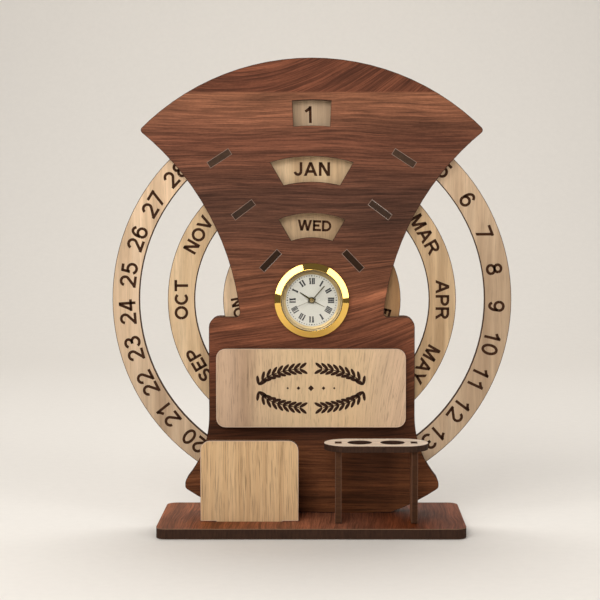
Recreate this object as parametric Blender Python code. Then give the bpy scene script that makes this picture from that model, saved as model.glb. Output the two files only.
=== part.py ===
"""Desk stand of laser-cut board: a perpetual calendar with three turning rings, an insert clock,
a card pocket and a pen rest on one base.

Metres, +Z up. The front faces -Y, and the origin is the middle of the base's underside.
"""

import math
from dataclasses import dataclass

import bmesh
import bpy
from mathutils import Vector

# Board, and the clearances that the whole stand shares
SHEET = 0.003
BASE_THICKNESS = 0.005
TAB_CLEARANCE = 0.00015
SEAT_GAP = 0.0003
FOOT_CLEARANCE = 0.0002
CUT_OVERRUN = 0.001
MERGE_DISTANCE = 0.0000003

# Base
BASE_WIDTH = 0.1483
BASE_DEPTH = 0.0628
BASE_CORNER_RADIUS = 0.005

# Where the calendar stands on the base
FACE_SETBACK = 0.037

# Rings from the clock outwards, the pegs that carry them and the windows in front of them
RING_CLEAR_OF_CLOCK = 0.0137
RING_WIDTH = 0.0134
RING_SPACING = 0.0141
RING_CLEAR_OF_BASE = 0.007
RING_SIDE_PLAY = 0.0005
RING_BORE_PLAY = 0.0003
PEG_LENGTH = 0.0122
PEG_THICKNESS = 0.003
DATE_PEG_ANGLE = 33.0
DATE_WINDOW_HALF_WIDTH = 0.0096
DATE_SILL_HALF_WIDTH = 0.009
DATE_WINDOW_OUTER_INSET = 0.0001
DATE_WINDOW_INNER_INSET = 0.0006
MONTH_PEG_ANGLE = 37.0
MONTH_WINDOW_HALF_WIDTH = 0.0205
MONTH_SILL_HALF_WIDTH = 0.0139
MONTH_WINDOW_OUTER_INSET = 0.0004
MONTH_WINDOW_INNER_INSET = 0.0003
DAY_PEG_ANGLE = 46.2
DAY_WINDOW_HALF_WIDTH = 0.0164
DAY_SILL_HALF_WIDTH = 0.0102
DAY_WINDOW_OUTER_INSET = 0.0009
DAY_WINDOW_INNER_INSET = 0.0004

# Outline of the two panels, measured from the ring centre
FAN_CROWN = 0.0205
FAN_HALF_ANGLE = 45.4
FAN_SIDE_RADIUS = 0.135
FAN_TIP_RADIUS = 0.0018
WAIST_HALF_WIDTH = 0.0354
WAIST_DROP = 0.0083
WAIST_FILLET = 0.002
SHOULDER_RADIUS = 0.005
BODY_HALF_WIDTH = 0.051
FLARE_RADIUS = 0.05
FIN_RADIUS = 0.005
FIN_HALF_WIDTH = 0.063
FIN_SIDE = 0.0021
FIN_TIP_RADIUS = 0.002
FOOT_HALF_WIDTH = 0.0394
PANEL_TAB_WIDTH = 0.016
PANEL_TAB_OFFSET = 0.023

# Message plate
MESSAGE_WIDTH = 0.0937
MESSAGE_HEIGHT = 0.039
MESSAGE_DROP = 0.0433
MESSAGE_SHIFT = -0.0004
MESSAGE_CORNER_RADIUS = 0.0045

# Card pocket
POCKET_WIDTH = 0.0475
POCKET_HEIGHT = 0.0394
POCKET_SETBACK = 0.0166
POCKET_OFFSET = -0.0301
POCKET_CORNER_RADIUS = 0.0047
POCKET_TAB_WIDTH = 0.032

# Pen rest
REST_LENGTH = 0.0505
REST_DEPTH = 0.0233
REST_HEIGHT = 0.0381
REST_OFFSET = 0.0314
REST_SETBACK = 0.008
PEN_HOLE_RADIUS = 0.006
PEN_HOLE_OFFSET = 0.008
LEG_OFFSET = 0.0184
LEG_DEPTH = 0.0172
LEG_TOP_TAB = 0.0057
LEG_FOOT_TAB = 0.009

# Clock insert: heights are measured forwards from the face of the front panel
BEZEL_WALL = 0.00085
BEZEL_HEIGHT = 0.0036
BEZEL_RIM_HEIGHT = 0.0014
BEZEL_LIP = 0.0006
CASE_RADIUS = 0.016
CASE_WALL = 0.001
CASE_FLANGE_OVERLAP = 0.0004
CASE_FLANGE = 0.0008
CASE_DEPTH = 0.0112
GRIPPER_WALL = 0.0003
GRIPPER_RIB = 0.00025
GRIPPER_START = 0.0003
GRIPPER_END = 0.0097
GRIPPER_RIB_COUNT = 3
GRIPPER_CLEARANCE = 0.00025
PRESS_CLEARANCE = 0.00003
RUNNING_CLEARANCE = 0.00006
PART_CLEARANCE = 0.0002
LENS_THICKNESS = 0.0008
LENS_RISE = 0.0007
REFLECTOR_LEDGE = 0.0003
REFLECTOR_HEIGHT = 0.0016
REFLECTOR_OVERLAP = 0.0017
REFLECTOR_FOOT = 0.00025
DIAL_EDGE_CLEARANCE = 0.0004
DIAL_THICKNESS = 0.0004

# Hands
HAND_THICKNESS = 0.00015
HAND_PITCH = 0.0004
FIRST_HAND_HEIGHT = 0.0002
HAND_BOSS_WALL = 0.00035
HOUR_HAND_LENGTH = 0.007
HOUR_HAND_WIDTH = 0.00055
MINUTE_HAND_LENGTH = 0.0095
MINUTE_HAND_WIDTH = 0.00045
SECOND_HAND_LENGTH = 0.0078
SECOND_HAND_WIDTH = 0.00016
SECOND_HAND_TAIL = 0.0021
ALARM_HAND_LENGTH = 0.0071
ALARM_HAND_WIDTH = 0.0003
SHOWN_HOUR = 10
MINUTE_ANGLE = 42.5
SECOND_ANGLE = 246.5
ALARM_ANGLE = 116.8

# Pipes and arbors, from the seconds arbor outwards
SECOND_ARBOR_RADIUS = 0.00025
PIPE_WALL = 0.00028
SETTING_ARBOR_RADIUS = 0.0005
PIPE_FOOT = 0.0001
WHEEL_THICKNESS = 0.0005
WHEEL_GAP = 0.0003

# Motion work
CANNON_TEETH = 12
MINUTE_WHEEL_TEETH = 36
MINUTE_PINION_TEETH = 10
HOUR_WHEEL_TEETH = 40
ALARM_WHEEL_TEETH = 36
ALARM_SETTING_TEETH = 18
TIME_ARBOR_OFFSET = 0.0048
ALARM_ARBOR_OFFSET = 0.0054
TIME_ARBOR_ANGLE = 40.0
ALARM_ARBOR_ANGLE = 140.0

# Movement
MAIN_PLATE_THICKNESS = 0.001
MOVEMENT_RING_WIDTH = 0.0022
BOARD_THICKNESS = 0.0008
BOARD_FLAT_HEIGHT = 0.0008
HOUSING_WIDTH = 0.0126
HOUSING_HEIGHT = 0.0088
HOUSING_DEPTH = 0.0034
HOUSING_CORNER_RADIUS = 0.0012
HOUSING_CLEARANCE = 0.00235
SECOND_SOCKET_DEPTH = 0.0012
COIL_LENGTH = 0.0086
COIL_RADIUS = 0.0014
COIL_FLANGE_RADIUS = 0.0018
COIL_FLANGE = 0.0006
COIL_CLEARANCE = 0.0018
BATTERY_RADIUS = 0.00395
BATTERY_THICKNESS = 0.0036
BATTERY_CAN_STEP = 0.0005
CONTACT_WIDTH = 0.0022
CONTACT_THICKNESS = 0.0002
CONTACT_REACH = 0.0036
BUZZER_RADIUS = 0.0035
BUZZER_THICKNESS = 0.0003
BUZZER_CENTRE = (0.0098, -0.0026)

# Back of the clock
COVER_THICKNESS = 0.001
SPIGOT_DEPTH = 0.001
HATCH_OVERLAP = 0.00095
HATCH_WALL = 0.0007
HATCH_LUG_REACH = 0.0005
HATCH_LUG_THICKNESS = 0.0004
HATCH_LUG_HALF_ANGLE = 14.0
HATCH_NOTCH_HALF_ANGLE = 18.0
HATCH_OPENING_TURN = 60.0
HATCH_SLOT_LENGTH = 0.006
HATCH_SLOT_WIDTH = 0.001
HATCH_SLOT_DEPTH = 0.0005
KNOB_RADIUS = 0.0024
KNOB_THICKNESS = 0.0015
KNOB_SOCKET_DEPTH = 0.001
KNOB_RIDGES = 20
KNOB_RIDGE_DEPTH = 0.00025

# Shares of a gear's module, and of the distance from one tooth to the next
ADDENDUM_SHARE = 0.85
DEDENDUM_SHARE = 1.2
TOOTH_TIP_SHARE = 0.2
TOOTH_ROOT_SHARE = 0.62

# Shares of a hand's width at its tip, and of the way from one gripper rib to the next at its crest
HAND_TIP_SHARE = 0.4
RIB_CREST_SHARE = 0.5

# Counts of facets, and angles between them
OUTLINE_STEP_DEGREES = 3.5
SHARP_EDGE_DEGREES = 35.0
CORNER_STEPS = 5
ROUND_STEPS = 48
INNER_ROUND_STEPS = 32
SMALL_ROUND_STEPS = 16
DOME_STEPS = 4
LUG_STEPS = 3
DATE_RING_STEPS = 120
MONTH_RING_STEPS = 96
DAY_RING_STEPS = 72


@dataclass(frozen=True)
class CalendarRing:
    """One turning ring, the pegs that it hangs on and the window that it shows through."""

    name: str
    bore_radius: float
    peg_angle: float
    window_half_width: float
    sill_half_width: float
    window_outer_inset: float
    window_inner_inset: float
    steps: int

    @property
    def radius(self):
        return self.bore_radius + RING_WIDTH

    @property
    def peg_radius(self):
        """To the middle of a peg, whose outer corners clear the bore."""
        outside = math.sqrt((self.bore_radius - RING_BORE_PLAY) ** 2 - (PEG_LENGTH / 2) ** 2)
        return outside - PEG_THICKNESS / 2

    @property
    def peg_name(self):
        return self.name.replace("ring", "peg")


# Sizes that follow in the clock insert
CASE_BORE_RADIUS = CASE_RADIUS - CASE_WALL
CLOCK_HOLE_RADIUS = CASE_RADIUS + PART_CLEARANCE + GRIPPER_WALL + GRIPPER_RIB + GRIPPER_CLEARANCE
CASE_FLANGE_RADIUS = CLOCK_HOLE_RADIUS + CASE_FLANGE_OVERLAP
BEZEL_RADIUS = CASE_FLANGE_RADIUS + PART_CLEARANCE + BEZEL_WALL
BEZEL_OPENING_RADIUS = CASE_BORE_RADIUS + PART_CLEARANCE
DIAL_RADIUS = CASE_BORE_RADIUS - DIAL_EDGE_CLEARANCE
REFLECTOR_BORE_RADIUS = DIAL_RADIUS - REFLECTOR_OVERLAP
HATCH_RADIUS = BATTERY_RADIUS + HATCH_OVERLAP
HATCH_ROOM_RADIUS = HATCH_RADIUS + HATCH_LUG_REACH + 2 * PART_CLEARANCE
BATTERY_CENTRE = HATCH_ROOM_RADIUS + HATCH_WALL + PART_CLEARANCE - CASE_BORE_RADIUS
HOUSING_CENTRE = BATTERY_CENTRE + BATTERY_RADIUS + HOUSING_CLEARANCE + HOUSING_HEIGHT / 2
COIL_CENTRE = HOUSING_CENTRE + HOUSING_HEIGHT / 2 + COIL_CLEARANCE + COIL_FLANGE_RADIUS

# The three rings
DAY_RING_BORE = CLOCK_HOLE_RADIUS + RING_CLEAR_OF_CLOCK
MONTH_RING_BORE = DAY_RING_BORE + RING_WIDTH + RING_SPACING
DATE_RING_BORE = MONTH_RING_BORE + RING_WIDTH + RING_SPACING
DATE_RING = CalendarRing("date_ring", DATE_RING_BORE, DATE_PEG_ANGLE, DATE_WINDOW_HALF_WIDTH,
                         DATE_SILL_HALF_WIDTH, DATE_WINDOW_OUTER_INSET, DATE_WINDOW_INNER_INSET,
                         DATE_RING_STEPS)
MONTH_RING = CalendarRing("month_ring", MONTH_RING_BORE, MONTH_PEG_ANGLE, MONTH_WINDOW_HALF_WIDTH,
                          MONTH_SILL_HALF_WIDTH, MONTH_WINDOW_OUTER_INSET, MONTH_WINDOW_INNER_INSET,
                          MONTH_RING_STEPS)
DAY_RING = CalendarRing("day_ring", DAY_RING_BORE, DAY_PEG_ANGLE, DAY_WINDOW_HALF_WIDTH,
                        DAY_SILL_HALF_WIDTH, DAY_WINDOW_OUTER_INSET, DAY_WINDOW_INNER_INSET,
                        DAY_RING_STEPS)
RINGS = (DATE_RING, MONTH_RING, DAY_RING)

# Places that follow from the sizes above
FAN_RADIUS = DATE_RING.radius + FAN_CROWN
CENTRE_ABOVE_BASE = DATE_RING.radius + RING_CLEAR_OF_BASE
BASE_FRONT = -BASE_DEPTH / 2
FACE_Y = BASE_FRONT + FACE_SETBACK
POCKET_Y = BASE_FRONT + POCKET_SETBACK
REST_Y = BASE_FRONT + REST_SETBACK + REST_DEPTH / 2
CENTRE_Z = BASE_THICKNESS + CENTRE_ABOVE_BASE
RING_SPACE = SHEET + 2 * RING_SIDE_PLAY
RING_BACK = -SHEET - RING_SIDE_PLAY - SHEET
REAR_PANEL_BACK = -SHEET - RING_SPACE - SHEET
TAB_DEPTH = BASE_THICKNESS - FOOT_CLEARANCE
DIAL_BACK = -DIAL_THICKNESS
ALARM_LAYER = DIAL_BACK - WHEEL_GAP - WHEEL_THICKNESS
HOUR_LAYER = ALARM_LAYER - WHEEL_GAP - WHEEL_THICKNESS
CANNON_LAYER = HOUR_LAYER - WHEEL_GAP - WHEEL_THICKNESS
PLATE_FRONT = CANNON_LAYER - WHEEL_GAP
PLATE_BACK = PLATE_FRONT - MAIN_PLATE_THICKNESS
BOARD_BACK = PLATE_BACK - PART_CLEARANCE - BOARD_THICKNESS
HOUSING_FRONT = BOARD_BACK - PART_CLEARANCE
COVER_FRONT = -CASE_DEPTH - PART_CLEARANCE
COVER_BACK = COVER_FRONT - COVER_THICKNESS
COVER_INSIDE = COVER_FRONT + SPIGOT_DEPTH
HATCH_LUG_BACK = COVER_FRONT + PART_CLEARANCE
HATCH_INSIDE = HATCH_LUG_BACK + HATCH_LUG_THICKNESS
KNOB_FRONT = COVER_BACK - SEAT_GAP
KNOB_BACK = KNOB_FRONT - KNOB_THICKNESS


def polar(radius, degrees):
    """A point at this angle from +X."""
    angle = math.radians(degrees)
    return Vector((radius * math.cos(angle), radius * math.sin(angle)))


def clockwise(radius, degrees):
    """A point at this angle clockwise from the top, as on a dial."""
    return polar(radius, 90 - degrees)


def arc(centre, radius, start, end, steps):
    """Points along a circle, both ends with them."""
    centre = Vector(centre)
    return [centre + polar(radius, start + (end - start) * i / steps) for i in range(steps + 1)]


def circle(centre, radius, steps):
    return arc(centre, radius, 0, 360, steps)[:-1]


def lugged_circle(centre, radius, reach, half_angle, turn):
    """A circle with two opposite lugs, or notches, that reach further out."""
    points = []
    for middle in (turn, turn + 180):
        points += arc(centre, radius + reach, middle - half_angle, middle + half_angle, LUG_STEPS)
        points += arc(centre, radius, middle + half_angle, middle + 180 - half_angle, SMALL_ROUND_STEPS)
    return points


def direction(centre, point):
    """The angle in degrees from a centre to a point."""
    offset = Vector(point) - Vector(centre)
    return math.degrees(math.atan2(offset.y, offset.x))


def centre_through(start, end, radius):
    """Centre of the circle through two points, on the right of the way from start to end."""
    start, end = Vector(start), Vector(end)
    half = (end - start) / 2
    side = Vector((half.y, -half.x)).normalized()
    return start + half + side * math.sqrt(radius**2 - half.length_squared)


def cut_back(run, distance):
    """A run of points without its first stretch of this length."""
    left = distance
    for i in range(len(run) - 1):
        step = run[i + 1] - run[i]
        if step.length > left:
            return [run[i] + step * (left / step.length)] + run[i + 1 :]
        left -= step.length
    return run[-1:]


def corner_arc(start, corner, end, steps):
    """Round corner from start to end, which lie at about the same distance from it."""
    way_in, way_out = (corner - start).normalized(), (end - corner).normalized()
    turn = -way_in.angle_signed(way_out)
    radius = (corner - start).length / math.tan(abs(turn) / 2)
    inwards = Vector((-way_in.y, way_in.x)) * math.copysign(1, turn)
    centre = start + inwards * radius
    first = direction(centre, start)
    return [centre + polar(radius, first + math.degrees(turn) * i / steps) for i in range(1, steps)]


def round_runs(runs, radii):
    """Closed outline from runs of points, with a round corner after each run."""
    trims = []
    for run, after, radius in zip(runs, runs[1:] + runs[:1], radii):
        way_in, way_out = run[-1] - run[-2], after[1] - after[0]
        trims.append(radius * math.tan(way_in.angle(way_out) / 2) if radius else 0)
    outline = []
    for i, run in enumerate(runs):
        kept = cut_back(run, trims[i - 1])
        kept = cut_back(kept[::-1], trims[i])[::-1]
        outline += kept
        if radii[i]:
            following = cut_back(runs[(i + 1) % len(runs)], trims[i])[0]
            outline += corner_arc(kept[-1], run[-1], following, CORNER_STEPS)
    return without_repeats(outline)


def without_repeats(points):
    """The outline without points that fall on the one before."""
    return [p for i, p in enumerate(points) if (p - points[i - 1]).length > MERGE_DISTANCE]


def rectangle(centre, width, height, turn=0.0):
    """Corners of a rectangle, counter-clockwise, turned by an angle in degrees."""
    across, up = polar(width / 2, turn), polar(height / 2, turn + 90)
    centre = Vector(centre)
    return [centre - across - up, centre + across - up, centre + across + up, centre - across + up]


def rounded_rectangle(centre, width, height, radius):
    corners = rectangle(centre, width, height)
    runs = [[corners[i], corners[(i + 1) % 4]] for i in range(4)]
    return round_runs(runs, [radius] * 4)


def steps_for(degrees):
    return max(2, math.ceil(abs(degrees) / OUTLINE_STEP_DEGREES))


def panel_outline():
    """Fan, waist, square shoulders, straight body and flared fins that both panels share."""
    foot = -CENTRE_ABOVE_BASE + SEAT_GAP
    foot_radius = math.hypot(FOOT_HALF_WIDTH, foot)
    tab_in = PANEL_TAB_OFFSET - PANEL_TAB_WIDTH / 2
    tab_out = PANEL_TAB_OFFSET + PANEL_TAB_WIDTH / 2
    tab_end = -CENTRE_ABOVE_BASE - TAB_DEPTH
    foot_run = [Vector((tab_in, foot)), Vector((tab_in, tab_end)), Vector((tab_out, tab_end)),
                Vector((tab_out, foot))]
    fin_corner = Vector((FIN_HALF_WIDTH, -math.sqrt(foot_radius**2 - FIN_HALF_WIDTH**2)))
    start = direction((0, 0), (FOOT_HALF_WIDTH, foot))
    end = direction((0, 0), fin_corner)
    foot_run += arc((0, 0), foot_radius, start, end, steps_for(end - start))

    sweep = math.degrees(math.acos(1 - (FIN_HALF_WIDTH - BODY_HALF_WIDTH) / (FLARE_RADIUS + FIN_RADIUS)))
    fin_centre = Vector((FIN_HALF_WIDTH - FIN_RADIUS, fin_corner.y + FIN_SIDE))
    flare_centre = fin_centre + polar(FLARE_RADIUS + FIN_RADIUS, sweep)
    side_run = [fin_corner]
    side_run += arc(fin_centre, FIN_RADIUS, 0, sweep, steps_for(sweep))
    side_run += arc(flare_centre, FLARE_RADIUS, 180 + sweep, 180, steps_for(sweep))[1:]
    side_run += [Vector((BODY_HALF_WIDTH, -WAIST_DROP))]

    waist = Vector((WAIST_HALF_WIDTH, -WAIST_DROP))
    shoulder_run = [side_run[-1], waist]
    tip = clockwise(FAN_RADIUS, FAN_HALF_ANGLE)
    centre = centre_through(waist, tip, FAN_SIDE_RADIUS)
    start, end = direction(centre, waist) % 360, direction(centre, tip) % 360
    fan_side = arc(centre, FAN_SIDE_RADIUS, start, end, steps_for(end - start))

    right = [foot_run, side_run, shoulder_run, fan_side]
    radii = [FIN_TIP_RADIUS, SHOULDER_RADIUS, WAIST_FILLET, FAN_TIP_RADIUS]
    crown = arc((0, 0), FAN_RADIUS, 90 - FAN_HALF_ANGLE, 90 + FAN_HALF_ANGLE,
                steps_for(2 * FAN_HALF_ANGLE))
    left = [[Vector((-p.x, p.y)) for p in run[::-1]] for run in right[::-1]]
    return round_runs(right + [crown] + left, radii + radii[::-1] + [0])


def window_outline(ring):
    """Opening bounded by two arcs round the ring centre and two straight sides."""
    outer = ring.radius - ring.window_outer_inset
    inner = ring.bore_radius + ring.window_inner_inset
    wide = math.degrees(math.asin(ring.window_half_width / outer))
    narrow = math.degrees(math.asin(ring.sill_half_width / inner))
    points = arc((0, 0), outer, 90 - wide, 90 + wide, steps_for(2 * wide))
    return points + arc((0, 0), inner, 90 + narrow, 90 - narrow, steps_for(2 * narrow))


def peg_places():
    """Ring, side and middle of each peg."""
    for ring in RINGS:
        for side, sign in (("left", -1), ("right", 1)):
            yield ring, side, sign * ring.peg_angle, clockwise(ring.peg_radius, sign * ring.peg_angle)


def peg_slots():
    """Slots in a panel, one for each peg."""
    length, thickness = PEG_LENGTH + 2 * TAB_CLEARANCE, PEG_THICKNESS + 2 * TAB_CLEARANCE
    return [rectangle(middle, length, thickness, -angle) for _, _, angle, middle in peg_places()]


def extruded(outline, holes, thickness):
    """A flat plate from z 0 up to its thickness, with its holes cut through."""
    shape = bmesh.new()
    for loop in [outline] + holes:
        corners = [shape.verts.new((p[0], p[1], 0)) for p in loop]
        for i, corner in enumerate(corners):
            shape.edges.new((corners[i - 1], corner))
    bmesh.ops.triangle_fill(shape, edges=shape.edges[:], use_beauty=True)
    bottom = shape.faces[:]
    raised = bmesh.ops.extrude_face_region(shape, geom=bottom, use_keep_orig=True)
    top = [part for part in raised["geom"] if isinstance(part, bmesh.types.BMVert)]
    bmesh.ops.translate(shape, verts=top, vec=(0, 0, thickness))
    bmesh.ops.recalc_face_normals(shape, faces=shape.faces[:])
    return shape


def turned(profile, steps):
    """A round piece from its half section: points of radius and height, round it or from axis to axis."""
    shape = bmesh.new()
    corners = [shape.verts.new((radius, 0, height)) for radius, height in profile]
    solid = profile[0][0] == 0 and profile[-1][0] == 0
    for i, corner in enumerate(corners):
        if i or not solid:
            shape.edges.new((corners[i - 1], corner))
    bmesh.ops.spin(shape, geom=shape.verts[:] + shape.edges[:], axis=(0, 0, 1), cent=(0, 0, 0),
                   angle=2 * math.pi, steps=steps, use_merge=True)
    bmesh.ops.remove_doubles(shape, verts=shape.verts[:], dist=MERGE_DISTANCE)
    bmesh.ops.recalc_face_normals(shape, faces=shape.faces[:])
    return shape


def disc(radius, bottom, top, steps):
    return turned([(0, bottom), (radius, bottom), (radius, top), (0, top)], steps)


def tube(bore, radius, bottom, top, steps):
    return turned([(bore, bottom), (radius, bottom), (radius, top), (bore, top)], steps)


def gear_outline(teeth, module, phase):
    """Teeth with a narrow tip and a wide root. The first tooth points at the phase angle."""
    pitch = 360 / teeth
    radius = module * teeth / 2
    rise = [(radius - module * DEDENDUM_SHARE, TOOTH_ROOT_SHARE),
            (radius + module * ADDENDUM_SHARE, TOOTH_TIP_SHARE)]
    points = []
    for tooth in range(teeth):
        middle = phase + tooth * pitch
        points += [polar(r, middle - share * pitch / 2) for r, share in rise]
        points += [polar(r, middle + share * pitch / 2) for r, share in rise[::-1]]
    return points


def meshing_phase(teeth, phase, line, other_teeth):
    """Phase of a second gear in mesh with the first, which lies along the line angle from it."""
    place = (line - phase) * teeth / 360 % 1
    return line + 180 - (0.5 - place) * 360 / other_teeth


def make_material(name, colour, roughness, metallic=0.0, clear=0.0):
    """A Principled material, see-through where clear is over 0."""
    material = bpy.data.materials.new(name)
    material.use_nodes = True
    shader = material.node_tree.nodes["Principled BSDF"]
    shader.inputs["Base Color"].default_value = (*colour, 1.0)
    shader.inputs["Roughness"].default_value = roughness
    shader.inputs["Metallic"].default_value = metallic
    shader.inputs["Transmission Weight"].default_value = clear
    material.diffuse_color = (*colour, 1.0 - clear / 2)
    return material


def place(name, shape, material, parent, location=(0, 0, 0), rotation=(0, 0, 0), smooth=False):
    """Makes one object from a shape, in its parent's frame."""
    mesh = bpy.data.meshes.new(name)
    shape.to_mesh(mesh)
    shape.free()
    mesh.materials.append(material)
    if smooth:
        mesh.shade_smooth()
        mesh.set_sharp_from_angle(angle=math.radians(SHARP_EDGE_DEGREES))
    made = bpy.data.objects.new(name, mesh)
    bpy.context.scene.collection.objects.link(made)
    made.parent = parent
    made.location = location
    made.rotation_euler = rotation
    return made


def combine(target, tool, operation):
    """A Boolean of one object on another, whose object then only serves as its cutter."""
    tool.hide_render = True
    tool.display_type = "WIRE"
    change = target.modifiers.new(operation.lower(), "BOOLEAN")
    change.operation = operation
    change.solver = "EXACT"
    change.object = tool


def add_frame(name, location, rotation):
    """An empty that carries the pieces measured from one face."""
    empty = bpy.data.objects.new(name, None)
    empty.empty_display_size = SHEET
    bpy.context.scene.collection.objects.link(empty)
    empty.location = location
    empty.rotation_euler = rotation
    return empty


def tab_slot(centre, width, depth):
    """Slot for a tab of this width and depth."""
    return rectangle(centre, width + 2 * TAB_CLEARANCE, depth + 2 * TAB_CLEARANCE)


def build_base(board):
    """Base plate with the slots that its upright pieces stand in."""
    front_panel_y = FACE_Y + SHEET / 2
    rear_panel_y = FACE_Y - REAR_PANEL_BACK - SHEET / 2
    holes = [tab_slot((side * PANEL_TAB_OFFSET, y), PANEL_TAB_WIDTH, SHEET)
             for side in (-1, 1) for y in (front_panel_y, rear_panel_y)]
    holes.append(tab_slot((POCKET_OFFSET, POCKET_Y + SHEET / 2), POCKET_TAB_WIDTH, SHEET))
    for side in (-1, 1):
        holes.append(tab_slot((REST_OFFSET + side * LEG_OFFSET, REST_Y), SHEET, LEG_FOOT_TAB))
    outline = rounded_rectangle((0, 0), BASE_WIDTH, BASE_DEPTH, BASE_CORNER_RADIUS)
    place("base_plate", extruded(outline, holes, BASE_THICKNESS), board, None)


def build_panels(board, face):
    """Front panel with its windows, and the plain rear panel."""
    hole = circle((0, 0), CLOCK_HOLE_RADIUS, ROUND_STEPS)
    windows = [window_outline(ring) for ring in RINGS]
    place("front_panel", extruded(panel_outline(), windows + peg_slots() + [hole], SHEET), board, face,
          (0, 0, -SHEET))
    place("rear_panel", extruded(panel_outline(), peg_slots() + [hole], SHEET), board, face,
          (0, 0, REAR_PANEL_BACK))


def build_rings(ring_board, edge_board, face):
    """The three turning rings between the panels, and the six pegs that carry them."""
    for ring in RINGS:
        outline = circle((0, 0), ring.radius, ring.steps)
        bore = circle((0, 0), ring.bore_radius, ring.steps)
        place(ring.name, extruded(outline, [bore], SHEET), ring_board, face, (0, 0, RING_BACK))
    for ring, side, angle, middle in peg_places():
        outline = rectangle((0, 0), PEG_LENGTH, PEG_THICKNESS)
        place(f"{ring.peg_name}_{side}", extruded(outline, [], -REAR_PANEL_BACK), edge_board, face,
              (middle.x, middle.y, REAR_PANEL_BACK), (0, 0, math.radians(-angle)))


def build_message_plate(oak, face):
    outline = rounded_rectangle((0, 0), MESSAGE_WIDTH, MESSAGE_HEIGHT, MESSAGE_CORNER_RADIUS)
    place("message_plate", extruded(outline, [], SHEET), oak, face, (MESSAGE_SHIFT, -MESSAGE_DROP, SEAT_GAP))


def build_pocket(oak):
    """Front board of the card pocket, with one tab in the base."""
    half, tab = POCKET_WIDTH / 2, POCKET_TAB_WIDTH / 2
    points = [(tab, -TAB_DEPTH), (tab, SEAT_GAP), (half, SEAT_GAP), (half, POCKET_HEIGHT),
              (-half, POCKET_HEIGHT), (-half, SEAT_GAP), (-tab, SEAT_GAP), (-tab, -TAB_DEPTH)]
    corners = [Vector(p) for p in points]
    runs = [corners[0:4], corners[3:5], corners[4:8] + corners[0:1]]
    outline = round_runs(runs, [POCKET_CORNER_RADIUS, POCKET_CORNER_RADIUS, 0])
    place("card_pocket_front", extruded(outline, [], SHEET), oak, None,
          (POCKET_OFFSET, POCKET_Y + SHEET, BASE_THICKNESS), (math.pi / 2, 0, 0))


def build_pen_rest(oak):
    """Round-ended shelf with two pen holes, on two upright legs."""
    end_radius = REST_DEPTH / 2
    end_offset = REST_LENGTH / 2 - end_radius
    outline = arc((end_offset, 0), end_radius, -90, 90, ROUND_STEPS // 2)
    outline += arc((-end_offset, 0), end_radius, 90, 270, ROUND_STEPS // 2)
    holes = [circle((side * PEN_HOLE_OFFSET, 0), PEN_HOLE_RADIUS, ROUND_STEPS) for side in (-1, 1)]
    holes += [tab_slot((side * LEG_OFFSET, 0), SHEET, LEG_TOP_TAB) for side in (-1, 1)]
    place("pen_rest_top", extruded(outline, holes, SHEET), oak, None,
          (REST_OFFSET, REST_Y, BASE_THICKNESS + REST_HEIGHT - SHEET))

    half, top, foot = LEG_DEPTH / 2, LEG_TOP_TAB / 2, LEG_FOOT_TAB / 2
    shelf = REST_HEIGHT - SHEET - SEAT_GAP
    leg = [(foot, -TAB_DEPTH), (foot, SEAT_GAP), (half, SEAT_GAP), (half, shelf), (top, shelf),
           (top, REST_HEIGHT), (-top, REST_HEIGHT), (-top, shelf), (-half, shelf), (-half, SEAT_GAP),
           (-foot, SEAT_GAP), (-foot, -TAB_DEPTH)]
    for side, sign in (("left", -1), ("right", 1)):
        x = REST_OFFSET + sign * LEG_OFFSET - SHEET / 2
        place(f"pen_rest_leg_{side}", extruded(leg, [], SHEET), oak, None,
              (x, REST_Y, BASE_THICKNESS), (math.pi / 2, 0, math.pi / 2))


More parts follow.
